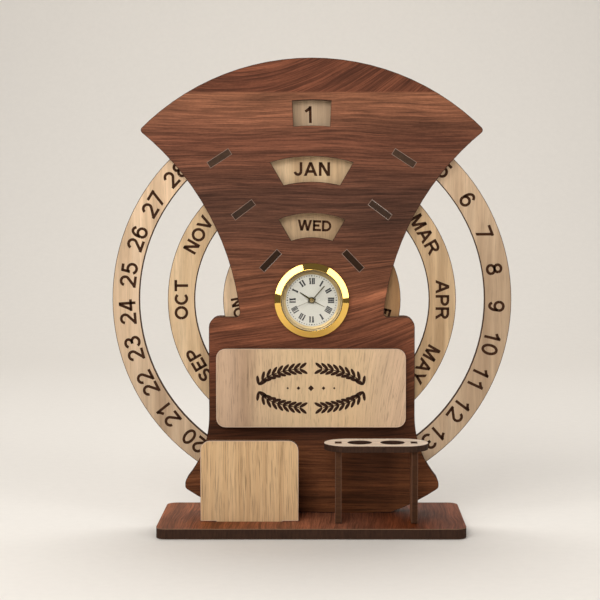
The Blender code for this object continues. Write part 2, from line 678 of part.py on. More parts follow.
def build_case(gold, plastic, rubber, glass, face):
    """Bezel, lens, reflector, case and gripper of the insert clock."""
    seat = CASE_FLANGE + SEAT_GAP
    lip_back = BEZEL_HEIGHT - BEZEL_LIP
    recess = CASE_FLANGE_RADIUS + PART_CLEARANCE
    crown = BEZEL_OPENING_RADIUS + BEZEL_LIP
    bezel = [(BEZEL_RADIUS, SEAT_GAP), (BEZEL_RADIUS, BEZEL_RIM_HEIGHT)]
    bezel += [(crown + (BEZEL_RADIUS - crown) * (1 - i / DOME_STEPS),
               BEZEL_RIM_HEIGHT + (BEZEL_HEIGHT - BEZEL_RIM_HEIGHT) * math.sin(math.pi / 2 * i / DOME_STEPS))
              for i in range(1, DOME_STEPS + 1)]
    bezel += [(BEZEL_OPENING_RADIUS, BEZEL_HEIGHT - BEZEL_LIP / 2), (BEZEL_OPENING_RADIUS, lip_back),
              (crown, lip_back), (crown, seat + PART_CLEARANCE), (recess, seat + PART_CLEARANCE),
              (recess, SEAT_GAP)]
    place("clock_bezel", turned(bezel, ROUND_STEPS), gold, face, smooth=True)

    lens_radius = crown - PART_CLEARANCE
    edge_front = lip_back - PART_CLEARANCE
    lens = []
    for i in range(DOME_STEPS + 1):
        share = i / DOME_STEPS
        lens.append((lens_radius * share, edge_front + LENS_RISE * (1 - share**2)))
    for radius, height in lens[::-1]:
        lens.append((radius, height - LENS_THICKNESS))
    place("clock_lens", turned(lens, INNER_ROUND_STEPS), glass, face, smooth=True)

    ledge = REFLECTOR_HEIGHT - REFLECTOR_LEDGE
    inside = CASE_BORE_RADIUS - PART_CLEARANCE
    reflector = [(lens_radius, REFLECTOR_HEIGHT), (lens_radius, ledge), (inside, ledge),
                 (inside, PART_CLEARANCE), (REFLECTOR_BORE_RADIUS, PART_CLEARANCE),
                 (REFLECTOR_BORE_RADIUS, PART_CLEARANCE + REFLECTOR_FOOT),
                 (BEZEL_OPENING_RADIUS, REFLECTOR_HEIGHT)]
    place("reflector_ring", turned(reflector, ROUND_STEPS), gold, face, smooth=True)

    case = [(CASE_BORE_RADIUS, seat), (CASE_FLANGE_RADIUS, seat), (CASE_FLANGE_RADIUS, SEAT_GAP),
            (CASE_RADIUS, SEAT_GAP), (CASE_RADIUS, -CASE_DEPTH), (CASE_BORE_RADIUS, -CASE_DEPTH)]
    place("clock_case", turned(case, INNER_ROUND_STEPS), plastic, face, smooth=True)

    bore = CASE_RADIUS + PART_CLEARANCE
    valley = bore + GRIPPER_WALL
    pitch = (GRIPPER_END - GRIPPER_START) / GRIPPER_RIB_COUNT
    gripper = [(bore, -GRIPPER_START)]
    for i in range(GRIPPER_RIB_COUNT):
        start = -GRIPPER_START - i * pitch
        gripper += [(valley, start), (valley + GRIPPER_RIB, start - pitch * RIB_CREST_SHARE)]
    gripper += [(valley, -GRIPPER_END), (bore, -GRIPPER_END)]
    place("gripper_ring", turned(gripper, INNER_ROUND_STEPS), rubber, face, smooth=True)


def pipe_sizes():
    """Bore and outer radius of the minute, hour and alarm pipes, from the inside out."""
    sizes = []
    inside = SECOND_ARBOR_RADIUS
    for _ in range(3):
        bore = inside + RUNNING_CLEARANCE
        sizes.append((bore, bore + PIPE_WALL))
        inside = bore + PIPE_WALL
    return sizes


def hand_level(place_in_stack):
    """Underside of a hand, counted up from the dial."""
    return FIRST_HAND_HEIGHT + place_in_stack * HAND_PITCH


def hand_outline(length, width, boss, angle, tail=0.0):
    """A tapered hand with a round boss and, where it has one, a tail."""
    half = math.degrees(math.asin(width / 2 / boss))
    tip = clockwise(length, angle)
    across = clockwise(width * HAND_TIP_SHARE / 2, angle + 90)
    points = [tip + across]
    if tail:
        points += [clockwise(boss, a) for a in (angle + half, angle + 90, angle + 180 - half)]
        end = clockwise(tail, angle + 180)
        points += [end + clockwise(width / 2, angle + 90), end - clockwise(width / 2, angle + 90)]
        points += [clockwise(boss, a) for a in (angle + 180 + half, angle + 270, angle + 360 - half)]
    else:
        sweep = 360 - 2 * half
        points += [clockwise(boss, angle + half + sweep * i / SMALL_ROUND_STEPS)
                   for i in range(SMALL_ROUND_STEPS + 1)]
    return points + [tip - across]


def build_hands(dark_gold, pale_gold, face):
    """Alarm, hour, minute and second hand, from the dial upwards."""
    minute_pipe, hour_pipe, alarm_pipe = pipe_sizes()
    hour_angle = SHOWN_HOUR * 30 + MINUTE_ANGLE / 12
    hands = (
        ("alarm_hand", 0, alarm_pipe[1], ALARM_HAND_LENGTH, ALARM_HAND_WIDTH, ALARM_ANGLE, 0.0),
        ("hour_hand", 1, hour_pipe[1], HOUR_HAND_LENGTH, HOUR_HAND_WIDTH, hour_angle, 0.0),
        ("minute_hand", 2, minute_pipe[1], MINUTE_HAND_LENGTH, MINUTE_HAND_WIDTH, MINUTE_ANGLE, 0.0),
        ("second_hand", 3, SECOND_ARBOR_RADIUS, SECOND_HAND_LENGTH, SECOND_HAND_WIDTH, SECOND_ANGLE,
         SECOND_HAND_TAIL),
    )
    for name, level, arbor, length, width, angle, tail in hands:
        bore = circle((0, 0), arbor + PRESS_CLEARANCE, SMALL_ROUND_STEPS)
        outline = hand_outline(length, width, arbor + PRESS_CLEARANCE + HAND_BOSS_WALL, angle, tail)
        finish = dark_gold if name in ("hour_hand", "minute_hand") else pale_gold
        place(name, extruded(outline, [bore], HAND_THICKNESS), finish, face, (0, 0, hand_level(level)))


def wheel_on_pipe(name, teeth, module, phase, layer, pipe, top, material, face):
    """A toothed wheel whose pipe runs forwards to carry a hand."""
    bore, radius = pipe
    middle = circle((0, 0), (bore + radius) / 2, SMALL_ROUND_STEPS)
    wheel = place(name, extruded(gear_outline(teeth, module, phase), [middle], WHEEL_THICKNESS), material,
                  face, (0, 0, layer))
    stem = tube(bore, radius, layer - PIPE_FOOT, top, SMALL_ROUND_STEPS)
    combine(wheel, place(name + "_pipe", stem, material, face), "UNION")


def wheel_on_arbor(name, gears, material, face, centre, front, back):
    """Wheels fixed on one arbor, each given as teeth, module, phase, layer and thickness."""
    arbor = place(name, disc(SETTING_ARBOR_RADIUS, back, front, SMALL_ROUND_STEPS), material, face,
                  (centre.x, centre.y, 0))
    for i, (teeth, module, phase, layer, thickness) in enumerate(gears):
        gear = place(f"{name}_gear_{i}", extruded(gear_outline(teeth, module, phase), [], thickness),
                     material, face, (centre.x, centre.y, layer))
        combine(arbor, gear, "UNION")


def setting_centres():
    """Middles of the time and the alarm setting arbors."""
    return (polar(TIME_ARBOR_OFFSET, TIME_ARBOR_ANGLE),
            polar(ALARM_ARBOR_OFFSET, ALARM_ARBOR_ANGLE))


def build_motion_work(brass, nylon, face):
    """Cannon pinion, minute wheel, hour wheel, alarm wheels and seconds arbor, in mesh."""
    minute_pipe, hour_pipe, alarm_pipe = pipe_sizes()
    time_centre, alarm_centre = setting_centres()
    cannon_module = 2 * TIME_ARBOR_OFFSET / (CANNON_TEETH + MINUTE_WHEEL_TEETH)
    hour_module = 2 * TIME_ARBOR_OFFSET / (MINUTE_PINION_TEETH + HOUR_WHEEL_TEETH)
    alarm_module = 2 * ALARM_ARBOR_OFFSET / (ALARM_WHEEL_TEETH + ALARM_SETTING_TEETH)
    hand_tops = [hand_level(i) + HAND_THICKNESS for i in range(4)]

    wheel_on_pipe("cannon_pinion", CANNON_TEETH, cannon_module, 0, CANNON_LAYER, minute_pipe, hand_tops[2],
                  brass, face)
    wheel_on_pipe("hour_wheel", HOUR_WHEEL_TEETH, hour_module, 0, HOUR_LAYER, hour_pipe, hand_tops[1],
                  brass, face)
    wheel_on_pipe("alarm_wheel", ALARM_WHEEL_TEETH, alarm_module, 0, ALARM_LAYER, alarm_pipe, hand_tops[0],
                  nylon, face)

    knob_end = KNOB_FRONT - KNOB_SOCKET_DEPTH + PART_CLEARANCE
    wheel_phase = meshing_phase(CANNON_TEETH, 0, TIME_ARBOR_ANGLE, MINUTE_WHEEL_TEETH)
    pinion_phase = meshing_phase(HOUR_WHEEL_TEETH, 0, TIME_ARBOR_ANGLE, MINUTE_PINION_TEETH)
    pinion_thickness = HOUR_LAYER + WHEEL_THICKNESS - CANNON_LAYER
    gears = ((MINUTE_WHEEL_TEETH, cannon_module, wheel_phase, CANNON_LAYER, WHEEL_THICKNESS),
             (MINUTE_PINION_TEETH, hour_module, pinion_phase, CANNON_LAYER + WHEEL_THICKNESS / 2,
              pinion_thickness - WHEEL_THICKNESS / 2))
    wheel_on_arbor("minute_wheel", gears, brass, face, time_centre,
                   HOUR_LAYER + WHEEL_THICKNESS + WHEEL_GAP / 2, knob_end)
    setting_phase = meshing_phase(ALARM_WHEEL_TEETH, 0, ALARM_ARBOR_ANGLE, ALARM_SETTING_TEETH)
    gears = ((ALARM_SETTING_TEETH, alarm_module, setting_phase, ALARM_LAYER, WHEEL_THICKNESS),)
    wheel_on_arbor("alarm_setting_wheel", gears, nylon, face, alarm_centre,
                   ALARM_LAYER + WHEEL_THICKNESS + WHEEL_GAP / 2, knob_end)

    inner_end = HOUSING_FRONT - SECOND_SOCKET_DEPTH + PART_CLEARANCE
    place("second_arbor", disc(SECOND_ARBOR_RADIUS, inner_end, hand_tops[3], SMALL_ROUND_STEPS), brass, face,
          smooth=True)


def build_dial(enamel, face):
    alarm_pipe = pipe_sizes()[2]
    outline = circle((0, 0), DIAL_RADIUS, ROUND_STEPS)
    hole = circle((0, 0), alarm_pipe[1] + RUNNING_CLEARANCE, SMALL_ROUND_STEPS)
    place("clock_dial", extruded(outline, [hole], DIAL_THICKNESS), enamel, face, (0, 0, DIAL_BACK))


def arbor_holes():
    """Clearance holes for the two setting arbors."""
    radius = SETTING_ARBOR_RADIUS + RUNNING_CLEARANCE
    return [circle(centre, radius, SMALL_ROUND_STEPS) for centre in setting_centres()]


def build_movement(plastic, green, copper, steel, face):
    """Spacer, plate, board, train housing, coil, battery, contact and buzzer inside the case."""
    inside = CASE_BORE_RADIUS - PART_CLEARANCE
    spacer = tube(inside - MOVEMENT_RING_WIDTH, inside, PLATE_FRONT + PART_CLEARANCE,
                  DIAL_BACK - PART_CLEARANCE, INNER_ROUND_STEPS)
    place("movement_ring", spacer, plastic, face, smooth=True)
    second_hole = circle((0, 0), SECOND_ARBOR_RADIUS + RUNNING_CLEARANCE, SMALL_ROUND_STEPS)
    plate = extruded(circle((0, 0), inside, INNER_ROUND_STEPS), arbor_holes() + [second_hole],
                     MAIN_PLATE_THICKNESS)
    place("main_plate", plate, plastic, face, (0, 0, PLATE_BACK))

    flat = -BOARD_FLAT_HEIGHT
    edge = math.degrees(math.asin(flat / inside))
    board = arc((0, 0), inside, edge, 180 - edge, INNER_ROUND_STEPS // 2)
    place("circuit_board", extruded(board, arbor_holes() + [second_hole], BOARD_THICKNESS), green, face,
          (0, 0, BOARD_BACK))

    outline = rounded_rectangle((0, HOUSING_CENTRE), HOUSING_WIDTH, HOUSING_HEIGHT, HOUSING_CORNER_RADIUS)
    housing = place("train_housing", extruded(outline, arbor_holes(), HOUSING_DEPTH), plastic, face,
                    (0, 0, HOUSING_FRONT - HOUSING_DEPTH))
    socket = disc(SECOND_ARBOR_RADIUS + RUNNING_CLEARANCE, HOUSING_FRONT - SECOND_SOCKET_DEPTH,
                  HOUSING_FRONT + CUT_OVERRUN, SMALL_ROUND_STEPS)
    combine(housing, place("second_socket_cutter", socket, plastic, face), "DIFFERENCE")

    half = COIL_LENGTH / 2
    bobbin = [(0, -half), (COIL_FLANGE_RADIUS, -half), (COIL_FLANGE_RADIUS, -half + COIL_FLANGE),
              (COIL_RADIUS, -half + COIL_FLANGE), (COIL_RADIUS, half - COIL_FLANGE),
              (COIL_FLANGE_RADIUS, half - COIL_FLANGE), (COIL_FLANGE_RADIUS, half), (0, half)]
    place("drive_coil", turned(bobbin, SMALL_ROUND_STEPS), copper, face,
          (0, COIL_CENTRE, HOUSING_FRONT - COIL_FLANGE_RADIUS), (0, math.pi / 2, 0), smooth=True)

    battery_back = HATCH_INSIDE + PART_CLEARANCE
    shoulder = BATTERY_RADIUS - BATTERY_CAN_STEP
    battery = [(0, 0), (BATTERY_RADIUS, 0), (BATTERY_RADIUS, BATTERY_THICKNESS - BATTERY_CAN_STEP),
               (shoulder, BATTERY_THICKNESS - BATTERY_CAN_STEP), (shoulder, BATTERY_THICKNESS),
               (0, BATTERY_THICKNESS)]
    place("battery", turned(battery, INNER_ROUND_STEPS), steel, face, (0, BATTERY_CENTRE, battery_back),
          smooth=True)
    build_contact(battery_back + BATTERY_THICKNESS, copper, face)
    place("buzzer_disc", disc(BUZZER_RADIUS, 0, BUZZER_THICKNESS, INNER_ROUND_STEPS), steel, face,
          (*BUZZER_CENTRE, COVER_INSIDE + PART_CLEARANCE), smooth=True)


def build_contact(battery_front, copper, face):
    """Bent strip from the main plate to the front of the battery."""
    top = PLATE_BACK - PART_CLEARANCE
    low = battery_front + PART_CLEARANCE
    half = CONTACT_REACH / 2
    profile = [(-half, low), (half, low), (half, top - CONTACT_THICKNESS),
               (CONTACT_REACH, top - CONTACT_THICKNESS), (CONTACT_REACH, top),
               (half - CONTACT_THICKNESS, top), (half - CONTACT_THICKNESS, low + CONTACT_THICKNESS),
               (-half, low + CONTACT_THICKNESS)]
    strip = extruded([Vector(p) for p in profile], [], CONTACT_WIDTH)
    place("battery_contact", strip, copper, face, (0, BATTERY_CENTRE + CONTACT_WIDTH / 2, 0),
          (math.pi / 2, 0, 0))


def build_cover(plastic, face):
    """Snap-in back cover with its spigot, and the battery hatch that a coin turns in its bayonet."""
    battery_centre = (0, BATTERY_CENTRE)
    bore = HATCH_RADIUS + PART_CLEARANCE
    notches = lugged_circle(battery_centre, bore, HATCH_LUG_REACH, HATCH_NOTCH_HALF_ANGLE,
                            -HATCH_OPENING_TURN)
    rim = circle((0, 0), CASE_RADIUS, INNER_ROUND_STEPS)
    cover = place("back_cover", extruded(rim, arbor_holes() + [notches], COVER_THICKNESS), plastic, face,
                  (0, 0, COVER_BACK))
    overlap = COVER_THICKNESS / 2
    room = circle(battery_centre, HATCH_ROOM_RADIUS, INNER_ROUND_STEPS)
    spigot_rim = circle((0, 0), CASE_BORE_RADIUS - PART_CLEARANCE, INNER_ROUND_STEPS)
    spigot = place("back_cover_spigot", extruded(spigot_rim, arbor_holes() + [room], SPIGOT_DEPTH + overlap),
                   plastic, face, (0, 0, COVER_FRONT - overlap))
    combine(cover, spigot, "UNION")

    thickness = HATCH_LUG_BACK + HATCH_LUG_THICKNESS / 2 - COVER_BACK
    hatch = place("battery_hatch", disc(HATCH_RADIUS, 0, thickness, INNER_ROUND_STEPS), plastic, face,
                  (0, BATTERY_CENTRE, COVER_BACK))
    lugs = lugged_circle((0, 0), HATCH_RADIUS - PART_CLEARANCE, HATCH_LUG_REACH + PART_CLEARANCE,
                         HATCH_LUG_HALF_ANGLE, 0)
    lug_plate = place("hatch_lugs", extruded(lugs, [], HATCH_LUG_THICKNESS), plastic, face,
                      (0, BATTERY_CENTRE, HATCH_LUG_BACK))
    combine(hatch, lug_plate, "UNION")
    slot_outline = rectangle((0, 0), HATCH_SLOT_LENGTH, HATCH_SLOT_WIDTH)
    slot = place("hatch_slot_cutter", extruded(slot_outline, [], HATCH_SLOT_DEPTH + CUT_OVERRUN), plastic,
                 face, (0, BATTERY_CENTRE, COVER_BACK - CUT_OVERRUN))
    combine(hatch, slot, "DIFFERENCE")


def build_knobs(plastic, face):
    """Ridged knobs on the ends of the time and the alarm setting arbors."""
    outline = [polar(KNOB_RADIUS - KNOB_RIDGE_DEPTH * (i % 2), 180 * i / KNOB_RIDGES)
               for i in range(2 * KNOB_RIDGES)]
    for name, centre in zip(("time_knob", "alarm_knob"), setting_centres()):
        knob = place(name, extruded(outline, [], KNOB_THICKNESS), plastic, face,
                     (centre.x, centre.y, KNOB_BACK))
        socket = disc(SETTING_ARBOR_RADIUS + PRESS_CLEARANCE, KNOB_FRONT - KNOB_SOCKET_DEPTH,
                      KNOB_FRONT + CUT_OVERRUN, SMALL_ROUND_STEPS)
        cutter = place(name + "_socket_cutter", socket, plastic, face, (centre.x, centre.y, 0))
        combine(knob, cutter, "DIFFERENCE")


def main():
    for existing in list(bpy.data.objects):
        bpy.data.objects.remove(existing, do_unlink=True)
    walnut = make_material("walnut_veneer", (0.28, 0.11, 0.06), 0.5)
    oak = make_material("oak_veneer", (0.55, 0.36, 0.18), 0.5)
    ash = make_material("ash_veneer", (0.62, 0.45, 0.26), 0.5)
    charred = make_material("charred_board", (0.05, 0.025, 0.015), 0.8)
    gold = make_material("polished_gold", (0.83, 0.62, 0.22), 0.12, 1.0)
    dark_gold = make_material("dark_gold", (0.3, 0.24, 0.1), 0.35, 1.0)
    brass = make_material("brass", (0.75, 0.58, 0.28), 0.3, 1.0)
    enamel = make_material("dial_enamel", (0.82, 0.82, 0.78), 0.5)
    glass = make_material("clear_glass", (1.0, 1.0, 1.0), 0.02, clear=1.0)
    black_plastic = make_material("black_plastic", (0.02, 0.02, 0.022), 0.4)
    nylon = make_material("white_nylon", (0.8, 0.8, 0.76), 0.45)
    rubber = make_material("gripper_rubber", (0.05, 0.05, 0.05), 0.8)
    green = make_material("board_green", (0.03, 0.2, 0.08), 0.4)
    copper = make_material("copper_wire", (0.75, 0.35, 0.2), 0.35, 1.0)
    steel = make_material("nickel_steel", (0.7, 0.7, 0.7), 0.25, 1.0)

    face = add_frame("calendar_face", (0, FACE_Y, CENTRE_Z), (math.pi / 2, 0, 0))
    build_base(walnut)
    build_panels(walnut, face)
    build_rings(ash, charred, face)
    build_message_plate(oak, face)
    build_pocket(oak)
    build_pen_rest(oak)
    build_case(gold, black_plastic, rubber, glass, face)
    build_dial(enamel, face)
    build_hands(dark_gold, gold, face)
    build_motion_work(brass, nylon, face)
    build_movement(nylon, green, copper, steel, face)
    build_cover(black_plastic, face)
    build_knobs(black_plastic, face)


main()
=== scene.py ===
"""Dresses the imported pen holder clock, and sets up its floor, light and camera.

Lengths are in metres in the part's own frame, with +Z up and the front facing -Y.
Colours are linear. Patterns are worked out in millimetres of Object coordinates.
"""
import logging
import math
from dataclasses import dataclass
from enum import Enum
from typing import Iterable, Sequence

import bmesh
import bpy
from mathutils import Matrix, Quaternion, Vector


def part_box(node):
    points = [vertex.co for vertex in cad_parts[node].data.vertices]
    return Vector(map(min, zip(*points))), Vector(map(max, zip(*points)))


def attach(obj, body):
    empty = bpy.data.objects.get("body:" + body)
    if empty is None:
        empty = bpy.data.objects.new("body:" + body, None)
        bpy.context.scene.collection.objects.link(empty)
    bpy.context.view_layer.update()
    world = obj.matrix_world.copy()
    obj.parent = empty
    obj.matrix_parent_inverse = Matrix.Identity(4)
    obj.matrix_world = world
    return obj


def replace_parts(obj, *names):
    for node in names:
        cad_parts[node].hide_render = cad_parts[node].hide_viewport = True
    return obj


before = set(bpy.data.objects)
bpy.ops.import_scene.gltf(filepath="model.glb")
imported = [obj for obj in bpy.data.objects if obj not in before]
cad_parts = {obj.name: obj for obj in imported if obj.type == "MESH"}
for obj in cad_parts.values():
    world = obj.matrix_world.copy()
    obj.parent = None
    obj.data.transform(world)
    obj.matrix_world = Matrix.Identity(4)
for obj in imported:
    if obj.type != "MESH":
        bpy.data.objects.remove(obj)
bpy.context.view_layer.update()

LOG = logging.getLogger("pen_holder_clock")

Material = bpy.types.Material
Mesh = bpy.types.Mesh
Socket = bpy.types.NodeSocket
Number = float | Socket
Point = tuple[float, float]
Triple = tuple[float, float, float]

MM = 0.001
PER_MM = 1000.0
WELD = 0.000002
FLAT_SHARE = 0.7
FRONT_SHARE = 0.99
SHARP_DEGREES = 32.0
NOISE_LOW = 0.2
NOISE_HIGH = 0.8
WALL_ROUGHNESS = 0.8
WOOD_SHEEN = 0.12


class Axis(Enum):
    """A direction of the part's frame."""

    X = 0
    Y = 1
    Z = 2


class Tones(Enum):
    """What a veneer's base tones are laid out by."""

    BY_PLACE = "by_place"
    BY_FIGURE = "by_figure"


class NodeTree:
    """A node tree that is being built."""

    tree: bpy.types.NodeTree

    def add(self, kind: str, inputs: dict | None = None, **settings: object) -> bpy.types.Node:
        """Adds a node.

        Args:
            kind: the node's type.
            inputs: a value or a socket for each input, by name or number.
            settings: the node's own properties.

        Returns:
            The new node.
        """
        made = self.tree.nodes.new(kind)
        for name, value in settings.items():
            setattr(made, name, value)
        for name, value in (inputs or {}).items():
            socket = made.inputs[name]
            if isinstance(value, Socket):
                self.tree.links.new(value, socket)
            else:
                socket.default_value = (*value, 1.0) if socket.type == "RGBA" else value
        return made


class ShaderGraph(NodeTree):
    """A new material's tree, with a short method for each node that the finishes use."""

    def __init__(self, name: str) -> None:
        """Starts an empty material.

        Args:
            name: the material's name.
        """
        self.material = bpy.data.materials.new(name)
        self.material.use_nodes = True
        self.tree = self.material.node_tree
        self.tree.nodes.clear()

    def math(self, operation: str, *values: Number) -> Socket:
        """Returns the result of one Math node on the values."""
        return self.add("ShaderNodeMath", dict(enumerate(values)), operation=operation).outputs[0]

    def times(self, first: Number, second: Number) -> Socket:
        """Returns a product."""
        return self.math("MULTIPLY", first, second)

    def less(self, first: Number, second: Number) -> Socket:
        """Returns a difference."""
        return self.math("SUBTRACT", first, second)

    def vector(self, *values: Number) -> Socket:
        """Returns a vector made of three values."""
        return self.add("ShaderNodeCombineXYZ", dict(enumerate(values))).outputs[0]

    def scaled(self, vector: object, factor: Number) -> Socket:
        """Returns a vector or a colour times a factor."""
        return self.add("ShaderNodeVectorMath", {0: vector, 3: factor}, operation="SCALE").outputs[0]

    def place(self) -> list[Socket]:
        """Returns x, y and z of the Object coordinates, in millimetres."""
        coordinates = self.add("ShaderNodeTexCoord").outputs["Object"]
        return list(self.add("ShaderNodeSeparateXYZ", {0: self.scaled(coordinates, PER_MM)}).outputs)

    def facing(self, axis: Axis) -> Socket:
        """Finds where the surface faces along an axis, either way.

        Args:
            axis: the axis.

        Returns:
            1 there, and 0 elsewhere.
        """
        normal = self.add("ShaderNodeTexCoord").outputs["Normal"]
        parts = self.add("ShaderNodeSeparateXYZ", {0: normal}).outputs
        return self.math("GREATER_THAN", self.math("ABSOLUTE", parts[axis.value]), FLAT_SHARE)

    def noise(self, place: Sequence[Number], rate: Triple | float = 1.0, detail: float = 2.0,
              roughness: float = 0.5) -> Socket:
        """Returns smooth noise between 0 and 1.

        Args:
            place: x, y and z of where it is read.
            rate: how many features it has to a unit, in each direction or in all.
            detail: how many finer layers are added.
            roughness: how strong the finer layers are.

        Returns:
            The noise.
        """
        rates = rate if isinstance(rate, tuple) else (rate,) * 3
        vector = self.add("ShaderNodeVectorMath", {0: self.vector(*place), 1: rates}, operation="MULTIPLY")
        inputs = {"Vector": vector.outputs[0], "Scale": 1.0, "Detail": detail, "Roughness": roughness}
        return self.add("ShaderNodeTexNoise", inputs).outputs[0]

    def span(self, value: Number, low: float, high: float, first: float = 0.0, last: float = 1.0) -> Socket:
        """Returns value turned from low..high into first..last, and held there beyond."""
        inputs = {0: value, 1: low, 2: high, 3: first, 4: last}
        return self.add("ShaderNodeMapRange", inputs, clamp=True).outputs[0]

    def wander(self, noise: Socket, first: float, last: float) -> Socket:
        """Returns noise turned into first..last."""
        return self.span(noise, NOISE_LOW, NOISE_HIGH, first, last)

    def ramp(self, factor: Socket, stops: Sequence[Sequence[float]]) -> Socket:
        """Reads a run of colours.

        Args:
            factor: where it is read, from 0 to 1.
            stops: rows of a position and a colour.

        Returns:
            The colour at factor.
        """
        node = self.add("ShaderNodeValToRGB", {0: factor})
        band = node.color_ramp
        while len(band.elements) < len(stops):
            band.elements.new(0.5)
        for element, (position, *colour) in zip(band.elements, stops):
            element.position = position
            element.color = (*colour, 1.0)
        return node.outputs[0]

    def mixed(self, factor: Number, first: Socket, second: Socket) -> Socket:
        """Returns first where factor is 0 and second where it is 1, both colours."""
        return self.add("ShaderNodeMix", {0: factor, 6: first, 7: second}, data_type="RGBA").outputs[2]

    def bump(self, height: Socket, depth: float, strength: float) -> Socket:
        """Returns a normal bent by a height, of which 1 stands for depth in metres."""
        inputs = {"Strength": strength, "Distance": depth, "Height": height}
        return self.add("ShaderNodeBump", inputs).outputs[0]

    def surface(self, colour: Socket, roughness: Number, normal: Socket | None = None,
                **constants: float) -> Material:
        """Ends the tree in a Principled shader.

        Args:
            colour: the base colour.
            roughness: the roughness.
            normal: a bent normal, if there is one.
            constants: further inputs of the shader, with _ for each space.

        Returns:
            The finished material.
        """
        inputs = {"Base Color": colour, "Roughness": roughness}
        if normal is not None:
            inputs["Normal"] = normal
        inputs.update({name.replace("_", " "): value for name, value in constants.items()})
        shader = self.add("ShaderNodeBsdfPrincipled", inputs)
        self.add("ShaderNodeOutputMaterial", {"Surface": shader.outputs[0]})
        return self.material


@dataclass(frozen=True)
class Spot:
    """A dark or light patch, in millimetres of the grain's own bent frame. Some spots are patches and streaks
    of the figure; others are painted light and painted shade laid into the veneer.

    Attributes:
        along: its middle along the grain.
        across: its middle across the grain.
        half_length: how far it reaches along the grain.
        half_width: how far it reaches across.
        shade: the factor on the colour at its middle.
    """

    along: float
    across: float
    half_length: float
    half_width: float
    shade: float


def spots(*rows: Sequence[float]) -> tuple[Spot, ...]:
    """Returns a spot for each row of its five values."""
    return tuple(Spot(*row) for row in rows)


@dataclass(frozen=True)
class PanelFigure:
    """Where the panel's veneer is figured. Lengths are in millimetres.

    Attributes:
        crown_height: the seam below the leaning grain of the crown.
        crown_slope: how steeply that grain climbs at the middle.
        crown_curl: how much steeper it gets for each millimetre to the right.
        crown_shift: keeps the crown's grain apart from the grain below it.
        rise_floor: the height below which the grain is level again.
        rise_start: how far above that it has its full rise.
        rise_height: the height above which the rise fades.
        rise_fade: how far above that it has faded out.
        rise_slope: how steeply it rises.
        rise_curl: how much steeper it gets to the right of the middle.
    """

    crown_height: float = 214.0
    crown_slope: float = 0.42
    crown_curl: float = 0.0045
    crown_shift: float = 400.0
    rise_floor: float = 38.0
    rise_start: float = 44.0
    rise_height: float = 115.0
    rise_fade: float = 22.0
    rise_slope: float = 0.12
    rise_curl: float = 0.003


# Patches of the panel's veneer, each row along, across, half length, half width and shade. The small narrow
# dark ones are patches of the figure; the broad ones are painted light and painted shade, mostly darker on
# the right and lighter on the left, at the fins and at the foot.
PANEL_FIGURE_AND_PAINTED_LIGHT = spots(
    (-34, 92, 15, 3.4, 0.66), (32, 82, 19, 5, 0.66), (16, 614, 14, 2.6, 0.62), (-11, 620.5, 13, 2.2, 0.72),
    (50, 588, 12, 3.6, 0.6), (33, 103.5, 17, 8, 1.6), (-31, 110.5, 14, 2.6, 1.35), (62, 191, 42, 17, 0.9),
    (38, 199, 40, 12, 0.92), (34, 138, 24, 32, 0.8), (-50, 205, 26, 10, 1.1), (52, 206, 26, 9, 1.1),
    (-26, 627, 28, 11, 1.2), (-33, 137, 18, 18, 1.2), (48, 172, 42, 62, 0.82), (36, 602, 18, 9, 0.84),
    (-60, 20, 13, 20, 1.15), (60, 22, 13, 20, 1.28), (0, 24, 22, 24, 1.2))
PLATE_SPOTS = spots(
    (76, -38.5, 17, 0.8, 0.8), (66, -35, 15, 1.6, 0.8), (74, -32, 14, 0.7, 0.74), (62, -30, 11, 0.6, 0.76),
    (80, -28.5, 9, 0.5, 0.78), (70, -21, 16, 0.7, 0.9), (68, 10, 20, 1, 0.9), (72, 15.5, 20, 0.9, 0.88),
    (78, 27, 11, 0.5, 0.8), (66, 31, 12, 0.5, 0.8), (76, 35.5, 13, 0.6, 0.76), (62, 40, 9, 0.5, 0.8))
# Painted light and painted shade on the rings, rows as for the panel: the date ring lighter at the upper left
# and darker at the lower left, the right and the lower right, as the light falls from the upper left; both
# rings darker at their top window, where the panel's edge shades them.
DAY_PAINTED_SHADE = spots((150, 5, 9, 24, 0.8))
DATE_PAINTED_LIGHT = spots((55, -78, 60, 55, 0.8), (111, 98, 90, 50, 0.78), (45, 62, 60, 50, 0.8),
                   (205, 4, 22, 30, 0.74), (165, -72, 34, 34, 1.2))


@dataclass(frozen=True)
class GrainLayer:
    """One layer of a veneer's grain: noise drawn out along the grain, turned into a shade.

    Attributes:
        width: how wide its features are, in millimetres.
        length: how long they are.
        first: the shade where the noise is at low or below.
        last: the shade where it is at high or above.
        detail: how many finer layers are in the noise.
        low: where the noise starts to count.
        high: where it counts in full.
    """

    width: float
    length: float
    first: float
    last: float
    detail: float = 2.0
    low: float = 0.34
    high: float = 0.66


@dataclass(frozen=True)
class Veneer:
    """One kind of veneer.

    Attributes:
        tones: rows of a place and a colour. The place is in millimetres across the grain, or a share of
            the first layer's noise.
        layers: the layers of its grain, the broadest first.
        laid: what the tones are laid out by.
        sway: how far the grain wanders, in millimetres.
        ripple: how far it ripples.
        roughness: the roughness of the varnish.
        relief: the depth of the grain, in metres.
        lean: the slope of the grain where it leans most.
        lean_start: the place across the grain from which it leans, in millimetres.
        lean_reach: how far beyond that it leans most.
        lean_middle: the place along the grain about which it leans.
    """

    tones: Sequence[Sequence[float]]
    layers: Sequence[GrainLayer]
    laid: Tones = Tones.BY_FIGURE
    sway: float = 2.0
    ripple: float = 0.3
    roughness: float = 0.55
    relief: float = 0.00004
    lean: float = 0.0
    lean_start: float = 0.0
    lean_reach: float = 1.0
    lean_middle: float = 0.0


